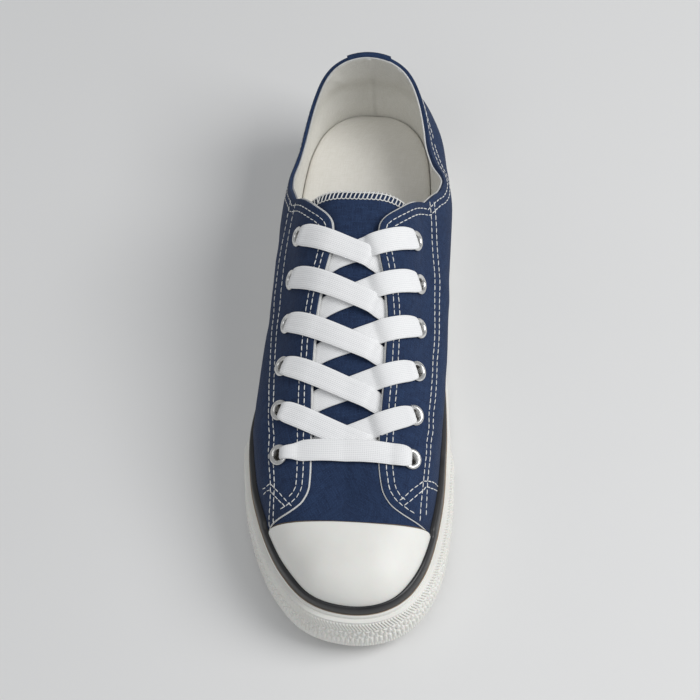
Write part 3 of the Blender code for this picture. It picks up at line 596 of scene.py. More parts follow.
def below_edge(points):
    """Whether points of the last are on the quarters, below the throat's edge and the topline."""
    along = points[..., 1] / SOLE_LENGTH
    reach = table(THROAT, along) * BALL_WIDTH
    topline = np.where(along < TOPLINE[0][0], 1.0, table(TOPLINE, along) * HEEL_HEIGHT)
    off = np.abs(points[..., 0] - ridge_line(along))
    return ((off > reach) | (along > THROAT[-1][0])) & (points[..., 2] < topline)


def edge_frame(phi, side, theta):
    """The quarters' edge: its points, the last's normals there and the way past the edge."""
    points = last_at(phi, side, theta)
    normal = last_normal(phi, side, theta)
    tangent = np.gradient(points, axis=0)
    past = np.cross(tangent, normal)
    past /= np.linalg.norm(past, axis=1, keepdims=True)
    return points, normal, past


def quarter_edge(phi, side):
    """Angle up each section of the quarters' edge, from the stripe's head where there is none."""
    head = band_theta(phi, side, STRIPE_HEIGHT)
    return np.maximum(theta_where(below_edge, phi, side), head + 0.02)


def ramp(value, low, high):
    """From 0 to 1 between low and high, eased at both ends."""
    t = np.clip((value - low) / (high - low), 0, 1)
    return t * t * (3 - 2 * t)


def settle(theta, phi, first, final, passes):
    """Rounds the edge's small corners between two shares of the length."""
    share = along_of(phi)
    inside = ramp(share, first, first + 0.02) * (1 - ramp(share, final - 0.02, final))
    for _ in range(passes):
        even = theta.copy()
        even[1:-1] = (theta[:-2] + 2 * theta[1:-1] + theta[2:]) / 4
        theta = theta + (even - theta) * inside
    return theta


def front_edge(side, count):
    """Angles of the quarter's front edge, from the stripe to the throat's foot, evenly spaced."""
    fine = FRONT_FOOT + (0.25 - FRONT_FOOT) * np.linspace(0, 1, 500) ** 2
    plan = np.stack([table(THROAT, fine) * BALL_WIDTH, fine * SOLE_LENGTH], -1)
    run = run_along(plan)
    at = np.linspace(0, run[-1], count)
    reach, level = np.interp(at, run, plan[:, 0]), np.interp(at, run, plan[:, 1])
    sides = np.full(count, float(side))
    low, high = (np.full(count, math.acos(1 - 2 * share)) for share in (0.12, 0.30))

    def outside(points):
        """Whether points are farther off the ridge than the front edge is."""
        return np.abs(points[:, 0] - ridge_line(points[:, 1] / SOLE_LENGTH)) > reach

    for _ in range(26):
        phi = (low + high) / 2
        theta = theta_where(outside, phi, sides)
        short = last_at(phi, sides, theta)[:, 1] < level
        low, high = np.where(short, phi, low), np.where(short, high, phi)
    head = band_theta(phi, sides, STRIPE_HEIGHT)
    return phi, np.maximum(theta, head + 0.01)


low_phi, edge_phi, edge_theta, quarter_side = [], [], [], []
for side in (LATERAL, MEDIAL):
    front_phi, front_theta = front_edge(side, FRONT_COLUMNS)
    back_phi = stations(
        (float(along_of(front_phi[-1])), 0.60, 150), (0.60, 0.68, 90), (0.68, 0.93, 80), (0.93, 1.0, 44)
    )[1:]
    back_theta = quarter_edge(back_phi, np.full(len(back_phi), float(side)))
    back_theta = settle(back_theta, back_phi, 0.575, 0.72, 420)
    foot_phi = np.linspace(math.acos(1 - 2 * FRONT_FOOT), front_phi[-1], FRONT_COLUMNS)
    columns = (
        np.concatenate([foot_phi, back_phi]),
        np.concatenate([front_phi, back_phi]),
        np.concatenate([front_theta, back_theta]),
        np.full(FRONT_COLUMNS + len(back_phi), float(side)),
    )
    for whole, column in zip((low_phi, edge_phi, edge_theta, quarter_side), columns):
        whole.append(column if side == LATERAL else column[-2::-1])
low_phi, edge_phi, edge_theta, quarter_side = (
    np.concatenate(whole) for whole in (low_phi, edge_phi, edge_theta, quarter_side)
)
quarter_share = along_of(low_phi)
edge_points, edge_normals, edge_past = edge_frame(edge_phi, quarter_side, edge_theta)
edge_past *= 1 if np.mean(below_edge(edge_points + edge_past * (0.6 * MM))) < 0.5 else -1
edge_at = edge_points[:, 1] / SOLE_LENGTH


def quarter_face(share):
    """The quarters' outer face at a share of the way to their edge, its creases fading out at the stripe."""
    phi, theta = low_phi + (edge_phi - low_phi) * share, edge_theta * share
    base = last_at(phi, quarter_side, theta)
    over_stripe = base[:, 2] - spring(base[:, 1] / SOLE_LENGTH) - foxing_top(along_of(phi))
    clear = ramp(over_stripe, 4 * MM, 9 * MM)
    return last(phi, quarter_side, theta, QUARTER_STEP + relief(base) * clear)


EYELET_RADIUS = 2.8 * MM
free_edge = ramp(edge_at, 0.235, 0.262)
navy_share = 0.33 + 0.37 * ramp(edge_at, 0.60, 0.66)
rim_depth = CANVAS_WALL * free_edge
turn_level = QUARTER_STEP - (QUARTER_STEP + rim_depth) * navy_share
lip = np.where(quarter_side < 0, 0.62, 0.40)
face_rows = [quarter_face(share) for share in np.linspace(0, 1, 42)]
face_lift = np.sum((face_rows[-1] - edge_points) * edge_normals, axis=1)
# The rim from outside in: how far past the edge in mm, and how far off the last.
RIM_ROWS = (
    (0.10, face_lift - 0.05 * MM),
    (0.19, face_lift - 0.20 * MM),
    (0.22, face_lift - 0.40 * MM),
    (0.22, turn_level + 0.08 * MM),
    (0.10 + 0.2 * lip, turn_level),
    (0.22 + 0.7 * lip, turn_level - 0.12 * MM),
    (0.22 + lip, turn_level * 0.6 - rim_depth * 0.4),
    (0.20 + 0.8 * lip, turn_level * 0.2 - rim_depth * 0.8),
    (0.12, np.full(len(lip), -CANVAS_WALL + 0.05 * MM)),
)
rim_rows = [
    edge_points + edge_past * (np.broadcast_to(out, lip.shape) * MM)[:, None] + edge_normals * lift[:, None]
    for out, lift in RIM_ROWS
]
lining_rows = [
    last(low_phi + (edge_phi - low_phi) * share, quarter_side, edge_theta * share, -CANVAS_WALL)
    for share in np.linspace(1, 0, 22)
]


BACK_SEAM = float(ridge_line(1.0))
# Puckers in mm: distance off the back seam, lean, the height it has that distance at, half width,
# thickness, and the heights between which it grows.
PUCKERS = (
    (14, 0.3, 70, 1.6, 0.35, 50, 62),
    (18.5, 0.5, 70, 1.5, 0.30, 48, 60),
    (-15, -0.4, 60, 2.0, 0.30, 40, 52),
)


def lining_relief(points):
    """The lining's own back seam and the small puckers beside it."""
    x, y, z = (points[..., k] / MM for k in range(3))
    middle = BACK_SEAM / MM
    back = ramp(y, 225, 245)
    lift = 0.45 * np.exp(-(((x - middle) / 0.8) ** 2)) - 0.25 * np.exp(-(((x - middle - 2.2) / 1.2) ** 2))
    for off, lean, level, wide, tall, low, high in PUCKERS:
        away = x - middle - off - (z - level) * lean
        lift += tall * np.exp(-((away / wide) ** 2)) * ramp(z, low, high)
    return back * lift * MM


inward = last_normal(edge_phi, quarter_side, edge_theta * 0.6)
lining_rows = [row - inward * lining_relief(row)[:, None] for row in lining_rows]
foot = ring(low_phi, quarter_side, -(inset(quarter_share) + GAP), 0.0)
foot[:, 2] += QUARTER_FOOT * section("bed", quarter_share)
foot_lining = foot + (last(low_phi, quarter_side, 0.0, -CANVAS_WALL) - face_rows[0]) * [1, 1, 0]
rows = [foot] + face_rows + rim_rows + lining_rows + [foot_lining]
finish = np.zeros((len(rows), len(low_phi) - 1), int)
first_white = len(face_rows) + 4
finish[first_white : first_white + 6] = 1
finish[first_white + 6 :] = 2
quarters = loft("quarters", np.array(rows), [NAVY, RAW_EDGE, LINING], finish, ends=True, smooth_angle=50)


def last_tree():
    """The last as a search tree, for what is laid over it."""
    rows = over_ridge(np.linspace(0.02, CROWN, 60))
    run = np.linspace(0.02, math.pi - 0.02, 260)
    same = np.ones(len(run))
    points = np.array([last_at(run, same * side, same * theta) for side, theta in rows])
    return BVHTree.FromPolygons(points.reshape(-1, 3).tolist(), grid_faces(len(rows), len(run)).tolist())


LAST_TREE = last_tree()


def drape(x, y, lift):
    """The point of the last over a plan point, lifted along its normal, and the normal."""
    hit, normal, _, _ = LAST_TREE.ray_cast(Vector((x, y, 1)), Vector((0, 0, -1)))
    if normal.z < 0:
        normal = -normal
    return np.array(hit + normal * lift), np.array(normal)


eyelet_seats = []
for along, reach in EYELETS:
    for side in (LATERAL, MEDIAL):
        x = float(ridge_line(along)) + side * reach * BALL_WIDTH
        eyelet_seats.append(drape(x, along * SOLE_LENGTH, QUARTER_STEP))


def apply_cut(piece, cutter):
    """Cuts one object out of another and removes the cutter."""
    cut = piece.modifiers.new("cut", "BOOLEAN")
    cut.operation, cut.object, cut.solver = "DIFFERENCE", cutter, "EXACT"
    bpy.ops.object.select_all(action="DESELECT")
    bpy.context.view_layer.objects.active = piece
    piece.select_set(True)
    bpy.ops.object.modifier_apply(modifier=cut.name)
    bpy.data.objects.remove(cutter)


bpy.ops.object.select_all(action="DESELECT")
punches = []
for point, normal in eyelet_seats:
    bpy.ops.mesh.primitive_cylinder_add(vertices=24, radius=EYELET_RADIUS + 0.15 * MM, depth=9 * MM)
    punch = bpy.context.active_object
    turned = Vector(normal).to_track_quat("Z", "X").to_matrix().to_4x4()
    punch.matrix_world = Matrix.Translation(Vector(point + REST)) @ turned
    punches.append(punch)
bpy.ops.object.select_all(action="DESELECT")
for punch in punches:
    punch.select_set(True)
bpy.context.view_layer.objects.active = punches[0]
bpy.ops.object.join()
apply_cut(quarters, bpy.context.active_object)
dress(quarters, ["upper"])

# The heel stay. A strip of the same canvas covers the back seam, is sewn down at both sides and turned
# over the rim.


def both_sides(phi):
    """Angles and sides from the lateral toe round the heel to the medial toe."""
    return np.concatenate([phi, phi[-2::-1]]), np.repeat([-1.0, 1.0], [len(phi), len(phi) - 1])


STAY_HALF = 10.5 * MM
STAY_WALL = 0.8 * MM
heel_half = stations((0.93, 1.0, 60))
heel_phi, heel_side = both_sides(heel_half)
reach = np.abs(last_at(heel_phi, heel_side, np.full(len(heel_phi), 0.5))[:, 0] - BACK_SEAM)
beside = reach < STAY_HALF
heel_phi, heel_side = heel_phi[beside], heel_side[beside]
stay_head = band_theta(heel_phi, heel_side, STRIPE_HEIGHT) * 0.95
stay_edge = quarter_edge(heel_phi, heel_side)
stay_points, stay_normals, stay_past = edge_frame(heel_phi, heel_side, stay_edge)
stay_past *= np.sign(stay_past[:, 2])[:, None]
width = np.linspace(-1, 1, len(heel_phi))
bed_in = ramp(1 - np.abs(width), 0, 0.08)
stay_face = [
    last(
        heel_phi,
        heel_side,
        stay_head + (stay_edge - stay_head) * share,
        QUARTER_STEP + 0.1 * MM + STAY_WALL * (0.55 + 0.45 * bed_in),
    )
    for share in np.linspace(0, 1, 44)
]


def over_rim(out, lift):
    """A row of the stay at the rim, past the edge and off the last, in mm."""
    return stay_points + stay_past * (out * MM) + stay_normals * (lift * MM)


FOLD = ((0.45, 1.55), (0.8, 1.2), (0.98, 0.6), (1.0, -0.1), (0.9, -0.8), (0.7, -1.05))
FOLD_BACK = ((0.45, -0.95), (0.4, -0.2), (0.35, 0.6))
fold = [over_rim(out, lift) for out, lift in FOLD]
under = [over_rim(out, lift) for out, lift in FOLD_BACK]
stay_back = [
    last(heel_phi, heel_side, stay_head + (stay_edge - stay_head) * share, QUARTER_STEP + 0.05 * MM)
    for share in np.linspace(1, 0, 12)
]
stay_grid = np.array(stay_face + fold + under + stay_back)
stay = loft("canvas_heel_stay", stay_grid, [NAVY], ends=True, smooth_angle=60)
dress(stay, ["heel_stay"])

# The stitching. White cotton lockstitch in double rows: round the throat and collar, along the eyestay's
# lower edge, across its front corner and down both sides of the heel stay.
THREAD, tree, shader = finish_of(
    "white thread", Roughness=0.8, Specular_IOR_Level=0.3, Sheen_Weight=0.1, Sheen_Roughness=0.5
)
placed = object_place(tree)
twist = step(tree, "TexWave", {"bands_direction": "DIAGONAL"}, Vector=placed, Scale=900.0)
soil = use(tree, CLOUDED, Vector=placed, Size=0.01)["Mask"]
feed(tree, shader, Base_Color=blend(tree, soil, (0.86, 0.86, 0.84), (0.70, 0.70, 0.67)))
feed(tree, shader, Normal=step(tree, "Bump", Height=twist, Distance=0.05 * MM, Strength=0.6))
STITCH_PITCH = 2.9 * MM
STITCH_SIZE = np.array([2.4, 0.46, 0.38]) * MM
STITCH_RISE = 0.10 * MM
STITCH_LINE_STEPS = 10


def surface_tree(*pieces):
    """A search tree over finished pieces, in the shoe's own frame."""
    points, faces = [], []
    for piece in pieces:
        start = len(points)
        points += [v.co[:] for v in piece.data.vertices]
        faces += [[start + i for i in face.vertices] for face in piece.data.polygons]
    return BVHTree.FromPolygons(points, faces)


def along_line(at, run, points):
    """Points of a line at distances along it."""
    return np.stack([np.interp(at, run, points[:, k]) for k in range(3)], -1)


def resample(points, pitch):
    """A run of points evenly spaced along a line, with the way the line goes there."""
    run = run_along(points)
    count = max(2, int(round(run[-1] / pitch)) + 1)
    at = (np.arange(count - 1) + 0.5) * run[-1] / (count - 1)
    way = along_line(at + 0.5 * MM, run, points) - along_line(at - 0.5 * MM, run, points)
    return along_line(at, run, points), way / (np.linalg.norm(way, axis=1, keepdims=True) + 1e-12)


bpy.ops.object.select_all(action="DESELECT")
bpy.ops.mesh.primitive_uv_sphere_add(segments=8, ring_count=7, radius=0.5)
one_stitch = bpy.context.active_object
STITCH_POINTS = np.array([v.co[:] for v in one_stitch.data.vertices])[:, [2, 0, 1]]
STITCH_POINTS[:, 0] = np.sign(STITCH_POINTS[:, 0]) * 0.5 * (np.abs(STITCH_POINTS[:, 0]) * 2) ** 0.8
STITCH_POINTS[:, 2] -= 0.9 * STITCH_POINTS[:, 0] ** 2
STITCH_FACES = [list(face.vertices) for face in one_stitch.data.polygons]
bpy.data.objects.remove(one_stitch)


def sew(name, lines, tree):
    """One modelled stitch, laid again and again along lines on a surface."""
    chance = np.random.default_rng(11)
    points, faces = [], []
    for line in lines:
        for spot, way in zip(*resample(line, STITCH_PITCH)):
            hit, normal, _, far = tree.find_nearest(Vector(spot + REST))
            if hit is None or far > 3 * MM:
                continue
            normal = np.array(normal)
            way = way - normal * way.dot(normal)
            way /= np.linalg.norm(way)
            across = np.cross(normal, way)
            lean = chance.normal(0, 0.05)
            way, across = way + across * lean, across - way * lean
            scale = STITCH_SIZE * [chance.uniform(0.92, 1.06), chance.uniform(0.9, 1.1), 1]
            base = np.array(hit) + normal * STITCH_RISE
            start = len(points) * len(STITCH_POINTS)
            points.append(base + (STITCH_POINTS * scale) @ np.array([way, across, normal]))
            faces += [[start + i for i in face] for face in STITCH_FACES]
    mesh = bpy.data.meshes.new(name)
    mesh.from_pydata(np.concatenate(points).tolist(), [], faces)
    mesh.materials.append(THREAD)
    mesh.shade_smooth()
    dress(place_mesh(name, mesh), [])


def beside_edge(offset, first):
    """A line on the quarters at a steady distance in from their edge, behind a share of the length."""
    edge = edge_points + edge_normals * QUARTER_STEP
    line = edge - edge_past * offset
    near = np.array([np.min(np.linalg.norm(edge - p, axis=1)) for p in line])
    keep = (near > offset - 0.12 * MM) & (edge_at > first)
    return line[keep]


def pattern_line(rows, side):
    """A stitch line through points given as the section's share of the length and the height in mm."""
    rows = np.array(rows, float)
    knots = np.arange(len(rows))
    at = np.linspace(0, len(rows) - 1, (len(rows) - 1) * STITCH_LINE_STEPS + 1)
    phi = np.arccos(1 - 2 * smooth(knots, rows[:, 0], at))
    level = (smooth(knots, rows[:, 1], at) - 0.35) * MM
    sides = np.full(len(phi), float(side))
    theta = theta_where(lambda p: p[:, 2] < level, phi, sides)
    return last(phi, sides, theta, QUARTER_STEP)


LATERAL_LINES = (
    ((0.688, 66.5), (0.661, 62.5), (0.619, 56.9), (0.567, 52.1), (0.511, 49.4), (0.445, 48.7), (0.381, 48.4),
     (0.315, 47.5), (0.259, 44.2), (0.203, 41.2), (0.174, 37.9), (0.144, 32.2)),
    ((0.670, 71.2), (0.646, 66.5), (0.598, 60.0), (0.545, 55.7), (0.492, 52.7), (0.433, 51.3), (0.369, 50.6),
     (0.307, 48.7), (0.248, 45.3), (0.198, 42.3), (0.169, 39.4), (0.140, 35.9)),
    ((0.203, 41.2), (0.174, 42.7), (0.144, 43.5)),
    ((0.189, 40.3), (0.169, 41.4), (0.151, 42.3)),
    ((0.203, 41.2), (0.203, 38.4), (0.206, 36.3)),
    ((0.193, 40.3), (0.196, 38.1), (0.196, 35.7)),
)
MEDIAL_LINES = (
    ((0.688, 67.9), (0.634, 62.5), (0.579, 57.3), (0.520, 53.4), (0.461, 50.4), (0.417, 48.8), (0.369, 47.4),
     (0.318, 45.4), (0.281, 43.8), (0.229, 42.0), (0.179, 39.9), (0.151, 38.4)),
    ((0.693, 65.6), (0.640, 60.5), (0.586, 55.3), (0.527, 51.5), (0.467, 48.6), (0.421, 46.9), (0.369, 45.2),
     (0.324, 43.5), (0.275, 41.7), (0.229, 40.3), (0.186, 37.7), (0.169, 36.4)),
    ((0.219, 41.7), (0.191, 43.9), (0.162, 44.8)),
    ((0.214, 39.9), (0.186, 42.3), (0.158, 43.8)),
    ((0.219, 41.7), (0.229, 37.8), (0.237, 31.0)),
    ((0.214, 39.9), (0.219, 36.9), (0.229, 31.0)),
)
seams = [pattern_line(line, LATERAL) for line in LATERAL_LINES]
seams += [pattern_line(line, MEDIAL) for line in MEDIAL_LINES]
seams += [beside_edge(2.6 * MM, 0.160), beside_edge(5.3 * MM, 0.168)]
sew("quarter_stitching", seams, surface_tree(quarters, vamp))
stay_across = last_at(heel_phi, heel_side, stay_edge * 0.5)[:, 0] - BACK_SEAM
stay_rows = []
for reach in (-7.7, -5.1, 5.1, 7.7):
    column = int(np.argmin(np.abs(stay_across - reach * MM)))
    stay_rows.append(np.array([row[column] for row in stay_face[2:] + fold[:3]]))
sew("heel_stay_stitching", stay_rows, surface_tree(stay))

# The eyelets. Twelve rolled rings of bright plated brass are clinched through quarter and lining, a turned
# lip around a short tube.
BRIGHT, tree, shader = finish_of("plated eyelet metal", Metallic=1.0)
placed = object_place(tree)
wear = use(tree, CLOUDED, Vector=placed, Size=0.003)["Mask"]
feed(tree, shader, Base_Color=blend(tree, wear, (0.84, 0.84, 0.83), (0.62, 0.61, 0.59)))
feed(tree, shader, Roughness=step(tree, "MapRange", Value=wear, To_Min=0.16, To_Max=0.38))
scratch = step(tree, "TexNoise", Vector=placed, Scale=2200.0, Detail=3.0)
feed(tree, shader, Normal=step(tree, "Bump", Height=scratch, Distance=0.02 * MM, Strength=0.4))
# The ring's radius and height in mm, from the tube's foot over the rolled lip and back down the bore.
EYELET_PROFILE = (
    (2.80, -2.30), (2.80, -0.30), (2.85, 0.16), (3.20, 0.28), (4.10, 0.30), (4.38, 0.36), (4.48, 0.52),
    (4.42, 0.74), (4.20, 0.96), (3.85, 1.12), (3.45, 1.19), (3.05, 1.14), (2.72, 0.98), (2.50, 0.70),
    (2.42, 0.35), (2.40, -0.30), (2.40, -2.30),
)
around = np.linspace(0, 2 * math.pi, 41)
for number, (point, normal) in enumerate(eyelet_seats):
    turn = np.array(Vector(normal).to_track_quat("Z", "X").to_matrix())
    spun = np.array(
        [[(r * math.cos(a), r * math.sin(a), z + 0.4) for a in around] for r, z in EYELET_PROFILE]
    )
    spun = (spun * MM) @ turn.T + point
    place = f"{number // 2 + 1}_{'medial' if number % 2 else 'lateral'}"
    eyelet = loft(f"eyelet_ring_{place}", spun, [BRIGHT], smooth_angle=60)
    dress(eyelet, [f"eyelet_{place}"])

# The tongue. A single layer of the same canvas, sewn under the vamp and bound across its free top edge
# with a white overlock seam.
TONGUE_HALF = 27 * MM
TONGUE_FROM, TONGUE_TO = 0.222, 0.668
LACE_ROOM = 1.9 * MM
TONGUE_WALL = 1.8 * MM
tongue_across = np.sin(np.linspace(-math.pi / 2, math.pi / 2, 49))
tongue_along = np.concatenate([np.linspace(TONGUE_FROM, 0.63, 62), np.linspace(0.634, TONGUE_TO, 16)])


def tongue_point(share, along, depth):
    """A point of the tongue, by its share across, share of the shoe's length and depth under its face."""
    part = (along - TONGUE_FROM) / (TONGUE_TO - TONGUE_FROM)
    half = TONGUE_HALF * (0.82 + 0.18 * part)
    free = float(ramp(part, 0.78, 1.0))
    corner = 1 - 0.02 * share**4 * max(0, (part - 0.8) / 0.2) - 0.026 * (1 - share**2) * free
    y = (TONGUE_FROM + (along - TONGUE_FROM) * corner) * SOLE_LENGTH
    x = float(ridge_line(along)) + share * half
    room = GAP + (LACE_ROOM - GAP) * min(1, (along - TONGUE_FROM) / 0.016)
    return drape(x, y, -CANVAS_WALL - room - depth - 2.5 * MM * (1 - share**2) * free)[0]


tongue_top = np.array([[tongue_point(s, a, 0.0) for s in tongue_across] for a in tongue_along])
top_edge = tongue_top[-1]
lead = top_edge - tongue_top[-4]
lead /= np.linalg.norm(lead, axis=1, keepdims=True)
tongue_down = np.array([tongue_point(s, tongue_along[-1], TONGUE_WALL) for s in tongue_across]) - top_edge
tongue_round = [
    top_edge + lead * (0.35 * MM) + tongue_down * 0.2,
    top_edge + lead * (0.5 * MM) + tongue_down * 0.5,
    top_edge + lead * (0.35 * MM) + tongue_down * 0.8,
]
tongue_under = [[tongue_point(s, a, TONGUE_WALL) for s in tongue_across] for a in tongue_along[::-4]]
tongue_rows = np.array([*tongue_top, *tongue_round, *tongue_under])
tongue = loft("canvas_tongue", tongue_rows, [NAVY], ends=True, smooth_angle=60)
dress(tongue, ["tongue"])


# The overlock seam. White cotton thread runs over the tongue's top edge in slanted loops, tied by one
# scalloped line below them and by another on the edge.
tongue_tree = surface_tree(tongue)
edge_run = run_along(top_edge)
OVERLOCK_PITCH = 1.85 * MM
OVERLOCK_REACH = 3.1 * MM
STRAND_SIDES = 6
chance = np.random.default_rng(5)
loops, faces = [], []


def on_tongue(run, below):
    """A point on the tongue's face: run along its top edge, and below it."""
    spot = along_line(run, edge_run, top_edge) - along_line(run, edge_run, lead) * below
    hit, normal, _, _ = tongue_tree.find_nearest(Vector(spot + REST))
    return np.array(hit) - REST, np.array(normal)


def strand(points, normals, width, height):
    """A closed thread along a line: the rings of points of a small tube."""
    way = np.gradient(points, axis=0)
    way /= np.linalg.norm(way, axis=1, keepdims=True)
    across = np.cross(way, normals)
    across /= np.linalg.norm(across, axis=1, keepdims=True)
    up = np.cross(across, way)
    turn = np.linspace(0, 2 * math.pi, STRAND_SIDES, endpoint=False)
    return [points + across * (math.cos(a) * width / 2) + up * (math.sin(a) * height / 2) for a in turn]


def tube_faces(start, sides, count):
    """Faces of a closed tube made of sides lines with count points each, numbered from start."""
    made = []
    for i in range(sides):
        one, other = start + i * count, start + (i + 1) % sides * count
        made += [[one + k, one + k + 1, other + k + 1, other + k] for k in range(count - 1)]
    made.append([start + i * count for i in range(sides)])
    made.append([start + i * count + count - 1 for i in reversed(range(sides))])
    return made


def add_strand(points, normals, width, height):
    """Adds one thread to the seam."""
    lines = np.array(strand(np.array(points), np.array(normals), width, height))
    faces.extend(tube_faces(sum(len(thread) for thread in loops), *lines.shape[:2]))
    loops.append(lines.reshape(-1, 3))


def face_outward(mesh):
    """Turns the faces of closed shells outward."""
    work = bmesh.new()
    work.from_mesh(mesh)
    bmesh.ops.recalc_face_normals(work, faces=work.faces)
    work.to_mesh(mesh)
    work.free()


for loop in range(int(edge_run[-1] / OVERLOCK_PITCH)):
    run = (loop + 0.5) * OVERLOCK_PITCH
    slant = 1.15 * MM * (1 if run > edge_run[-1] * 0.2 else -0.5)
    low_at = OVERLOCK_REACH * chance.uniform(0.92, 1.05)
    path, facing = [], []
    for share in np.linspace(0, 1, 6):
        spot, normal = on_tongue(run - slant * (1 - share), low_at * (1 - share) - 0.1 * MM)
        path.append(spot + normal * (0.22 + 0.12 * math.sin(share * math.pi)) * MM)
        facing.append(normal)
    away, down, tip = (along_line(run, edge_run, line) for line in (lead, tongue_down, top_edge))
    path += [tip + away * 0.75 * MM + down * 0.25, tip + away * 0.8 * MM + down * 0.65]
    facing += [facing[-1] + away, away]
    add_strand(path, facing, 0.62 * MM, 0.5 * MM)
low_line, low_facing = [], []
for run in np.arange(0.2, edge_run[-1] / MM - 0.2, 0.3):
    dip = abs(math.sin(math.pi * run / (OVERLOCK_PITCH / MM)))
    spot, normal = on_tongue(run * MM, OVERLOCK_REACH - 0.35 * MM + 0.5 * MM * dip)
    low_line.append(spot + normal * 0.25 * MM)
    low_facing.append(normal)
add_strand(low_line, low_facing, 0.5 * MM, 0.42 * MM)
low_line, low_facing = [], []
for run in np.arange(0.2, edge_run[-1] / MM - 0.2, 0.4):
    spot, normal = on_tongue(run * MM, 0.25 * MM + 0.12 * MM * math.sin(run * 3.3))
    low_line.append(spot + normal * 0.4 * MM)
    low_facing.append(normal)
add_strand(low_line, low_facing, 0.5 * MM, 0.42 * MM)
mesh = bpy.data.meshes.new("tongue_overlock")
mesh.from_pydata((np.concatenate(loops) + REST).tolist(), [], faces)
mesh.materials.append(THREAD)
mesh.shade_smooth()
face_outward(mesh)
dress(place_mesh("tongue_overlock", mesh), [])

# The insole. A foam bed faced with warm beige cloth, a little dished at its edges. It lies loose in the
# shoe, on the outsole's upper face.
BED_HEIGHT = 22 * MM
INSOLE_WALL = 4 * MM
INSOLE_CLOTH = woven_cloth(
    "insole cloth",
    (0.82, 0.795, 0.73),
    (0.93, 0.91, 0.86),
    0.5 * MM,
    0.07 * MM,
    Roughness=0.9,
    Specular_IOR_Level=0.2,
)
INSOLE_EDGE, tree, shader = finish_of("insole foam", Roughness=0.95, Specular_IOR_Level=0.15)
placed = object_place(tree)
cells = step(tree, "TexNoise", Vector=placed, Scale=900.0, Detail=3.0)
feed(tree, shader, Base_Color=blend(tree, cells, (0.30, 0.27, 0.20), (0.46, 0.42, 0.34)))
feed(tree, shader, Normal=step(tree, "Bump", Height=cells, Distance=0.15 * MM))


def sole_line(sides, share, height):
    """A line along the sole at a share of the way across, lifted by height."""
    line = sides[0] * (1 - share) / 2 + sides[1] * (1 + share) / 2
    return np.column_stack([line[:, :2], line[:, 2] + height])


insole_phi = stations((0.0, 0.1, 30), (0.1, 0.9, 90), (0.9, 1.0, 30))
insole_share = along_of(insole_phi)
insole_in = inset(insole_share) + 2 * GAP + QUARTER_STEP + CANVAS_WALL
bed_level = BED_HEIGHT * section("bed", insole_share) + GAP
sides = [ring(insole_phi, np.full(len(insole_phi), s), -insole_in, 0.0) for s in (-1.0, 1.0)]
top_rows, low_rows = [], []
rounding = {0: 1.1, 1: 0.45, 2: 0.1}
across = np.concatenate([[-1, -0.985, -0.95], np.linspace(-0.88, 0.88, 31), [0.95, 0.985, 1]])
for number, share in enumerate(across):
    dish = 1.0 * MM * share**2 * np.sin(insole_phi)
    sink = rounding.get(min(number, len(across) - 1 - number), 0) * MM
    ends_sink = 1.0 * MM * np.exp(-np.minimum(insole_share, 1 - insole_share) * 700)
    height = bed_level + INSOLE_WALL + dish - np.maximum(sink, ends_sink)
    top_rows.append(sole_line(sides, share, height))
    if number % 3 == 0:
        low_rows.append(sole_line(sides, share, bed_level))
insole_rows = np.array(top_rows + low_rows[::-1])
insole = loft(
    "insole_pad",
    insole_rows,
    [INSOLE_CLOTH, INSOLE_EDGE],
    [0] * (len(top_rows) - 1) + [1] * (len(low_rows) + 1),
    smooth_angle=50,
)
dress(insole, ["insole"])

# The toe cap. Smooth moulded off-white rubber over the toe, cut across at its back, where a thin dark line
# is coloured along the edge.
RUBBER, tree, shader = finish_of(
    "off-white rubber", Specular_IOR_Level=0.4, Subsurface_Weight=0.04, Subsurface_Scale=0.002
)
placed = object_place(tree)
cloud = use(tree, CLOUDED, Vector=placed, Size=0.02)["Mask"]
fine = step(tree, "TexNoise", Vector=placed, Scale=700.0, Detail=4.0)
speck = step(tree, "TexVoronoi", Vector=placed, Scale=380.0)
spot_mask = step(tree, "MapRange", Value=speck, From_Min=0.03, From_Max=0.07, To_Min=0.35, To_Max=0.0)
rubber_tone = blend(tree, cloud, (0.80, 0.79, 0.745), (0.85, 0.845, 0.805))
soiled = step(tree, "MapRange", Value=cloud, From_Min=0.6, From_Max=1.0)
thin_dust = maths(tree, "MULTIPLY", spot_mask, soiled)
feed(tree, shader, Base_Color=blend(tree, thin_dust, rubber_tone, (0.60, 0.58, 0.53)))
feed(tree, shader, Roughness=step(tree, "MapRange", Value=fine, To_Min=0.42, To_Max=0.58))
feed(tree, shader, Normal=step(tree, "Bump", Height=fine, Distance=0.03 * MM, Strength=0.5))
# A thin dark brown line, coloured onto two rows of faces at the cap's back edge.
DARK_BACK_LINE, tree, shader = finish_of("dark line at cap back", Roughness=0.7, Specular_IOR_Level=0.3)
placed = object_place(tree)
patchy = step(tree, "TexNoise", Vector=placed, Scale=450.0, Detail=3.0)
feed(tree, shader, Base_Color=blend(tree, patchy, (0.05, 0.035, 0.025), (0.20, 0.15, 0.10)))
feed(tree, shader, Normal=step(tree, "Bump", Height=patchy, Distance=0.1 * MM))
CAP_WALL = 1.3 * MM
CAP_HUG = 2 * GAP
CAP_EDGE = 0.161
CAP_ROWS = 56


def cap_back(points):
    """Whether points are in front of the cap's back edge."""
    share = np.clip(points[:, 0] / (BALL_WIDTH * 0.42), -1, 1)
    bow = 6 - 3.4 * np.abs(share) ** 2.6 + 0.9 * share - (1.9 - 0.8 * share) * share**8
    return points[:, 1] < CAP_EDGE * SOLE_LENGTH - bow * MM


def around_toe(half):
    """Angles and sides from the lateral side round the toe to the medial side."""
    return np.concatenate([half[::-1], half[1:]]), np.repeat([-1.0, 1.0], [len(half), len(half) - 1])


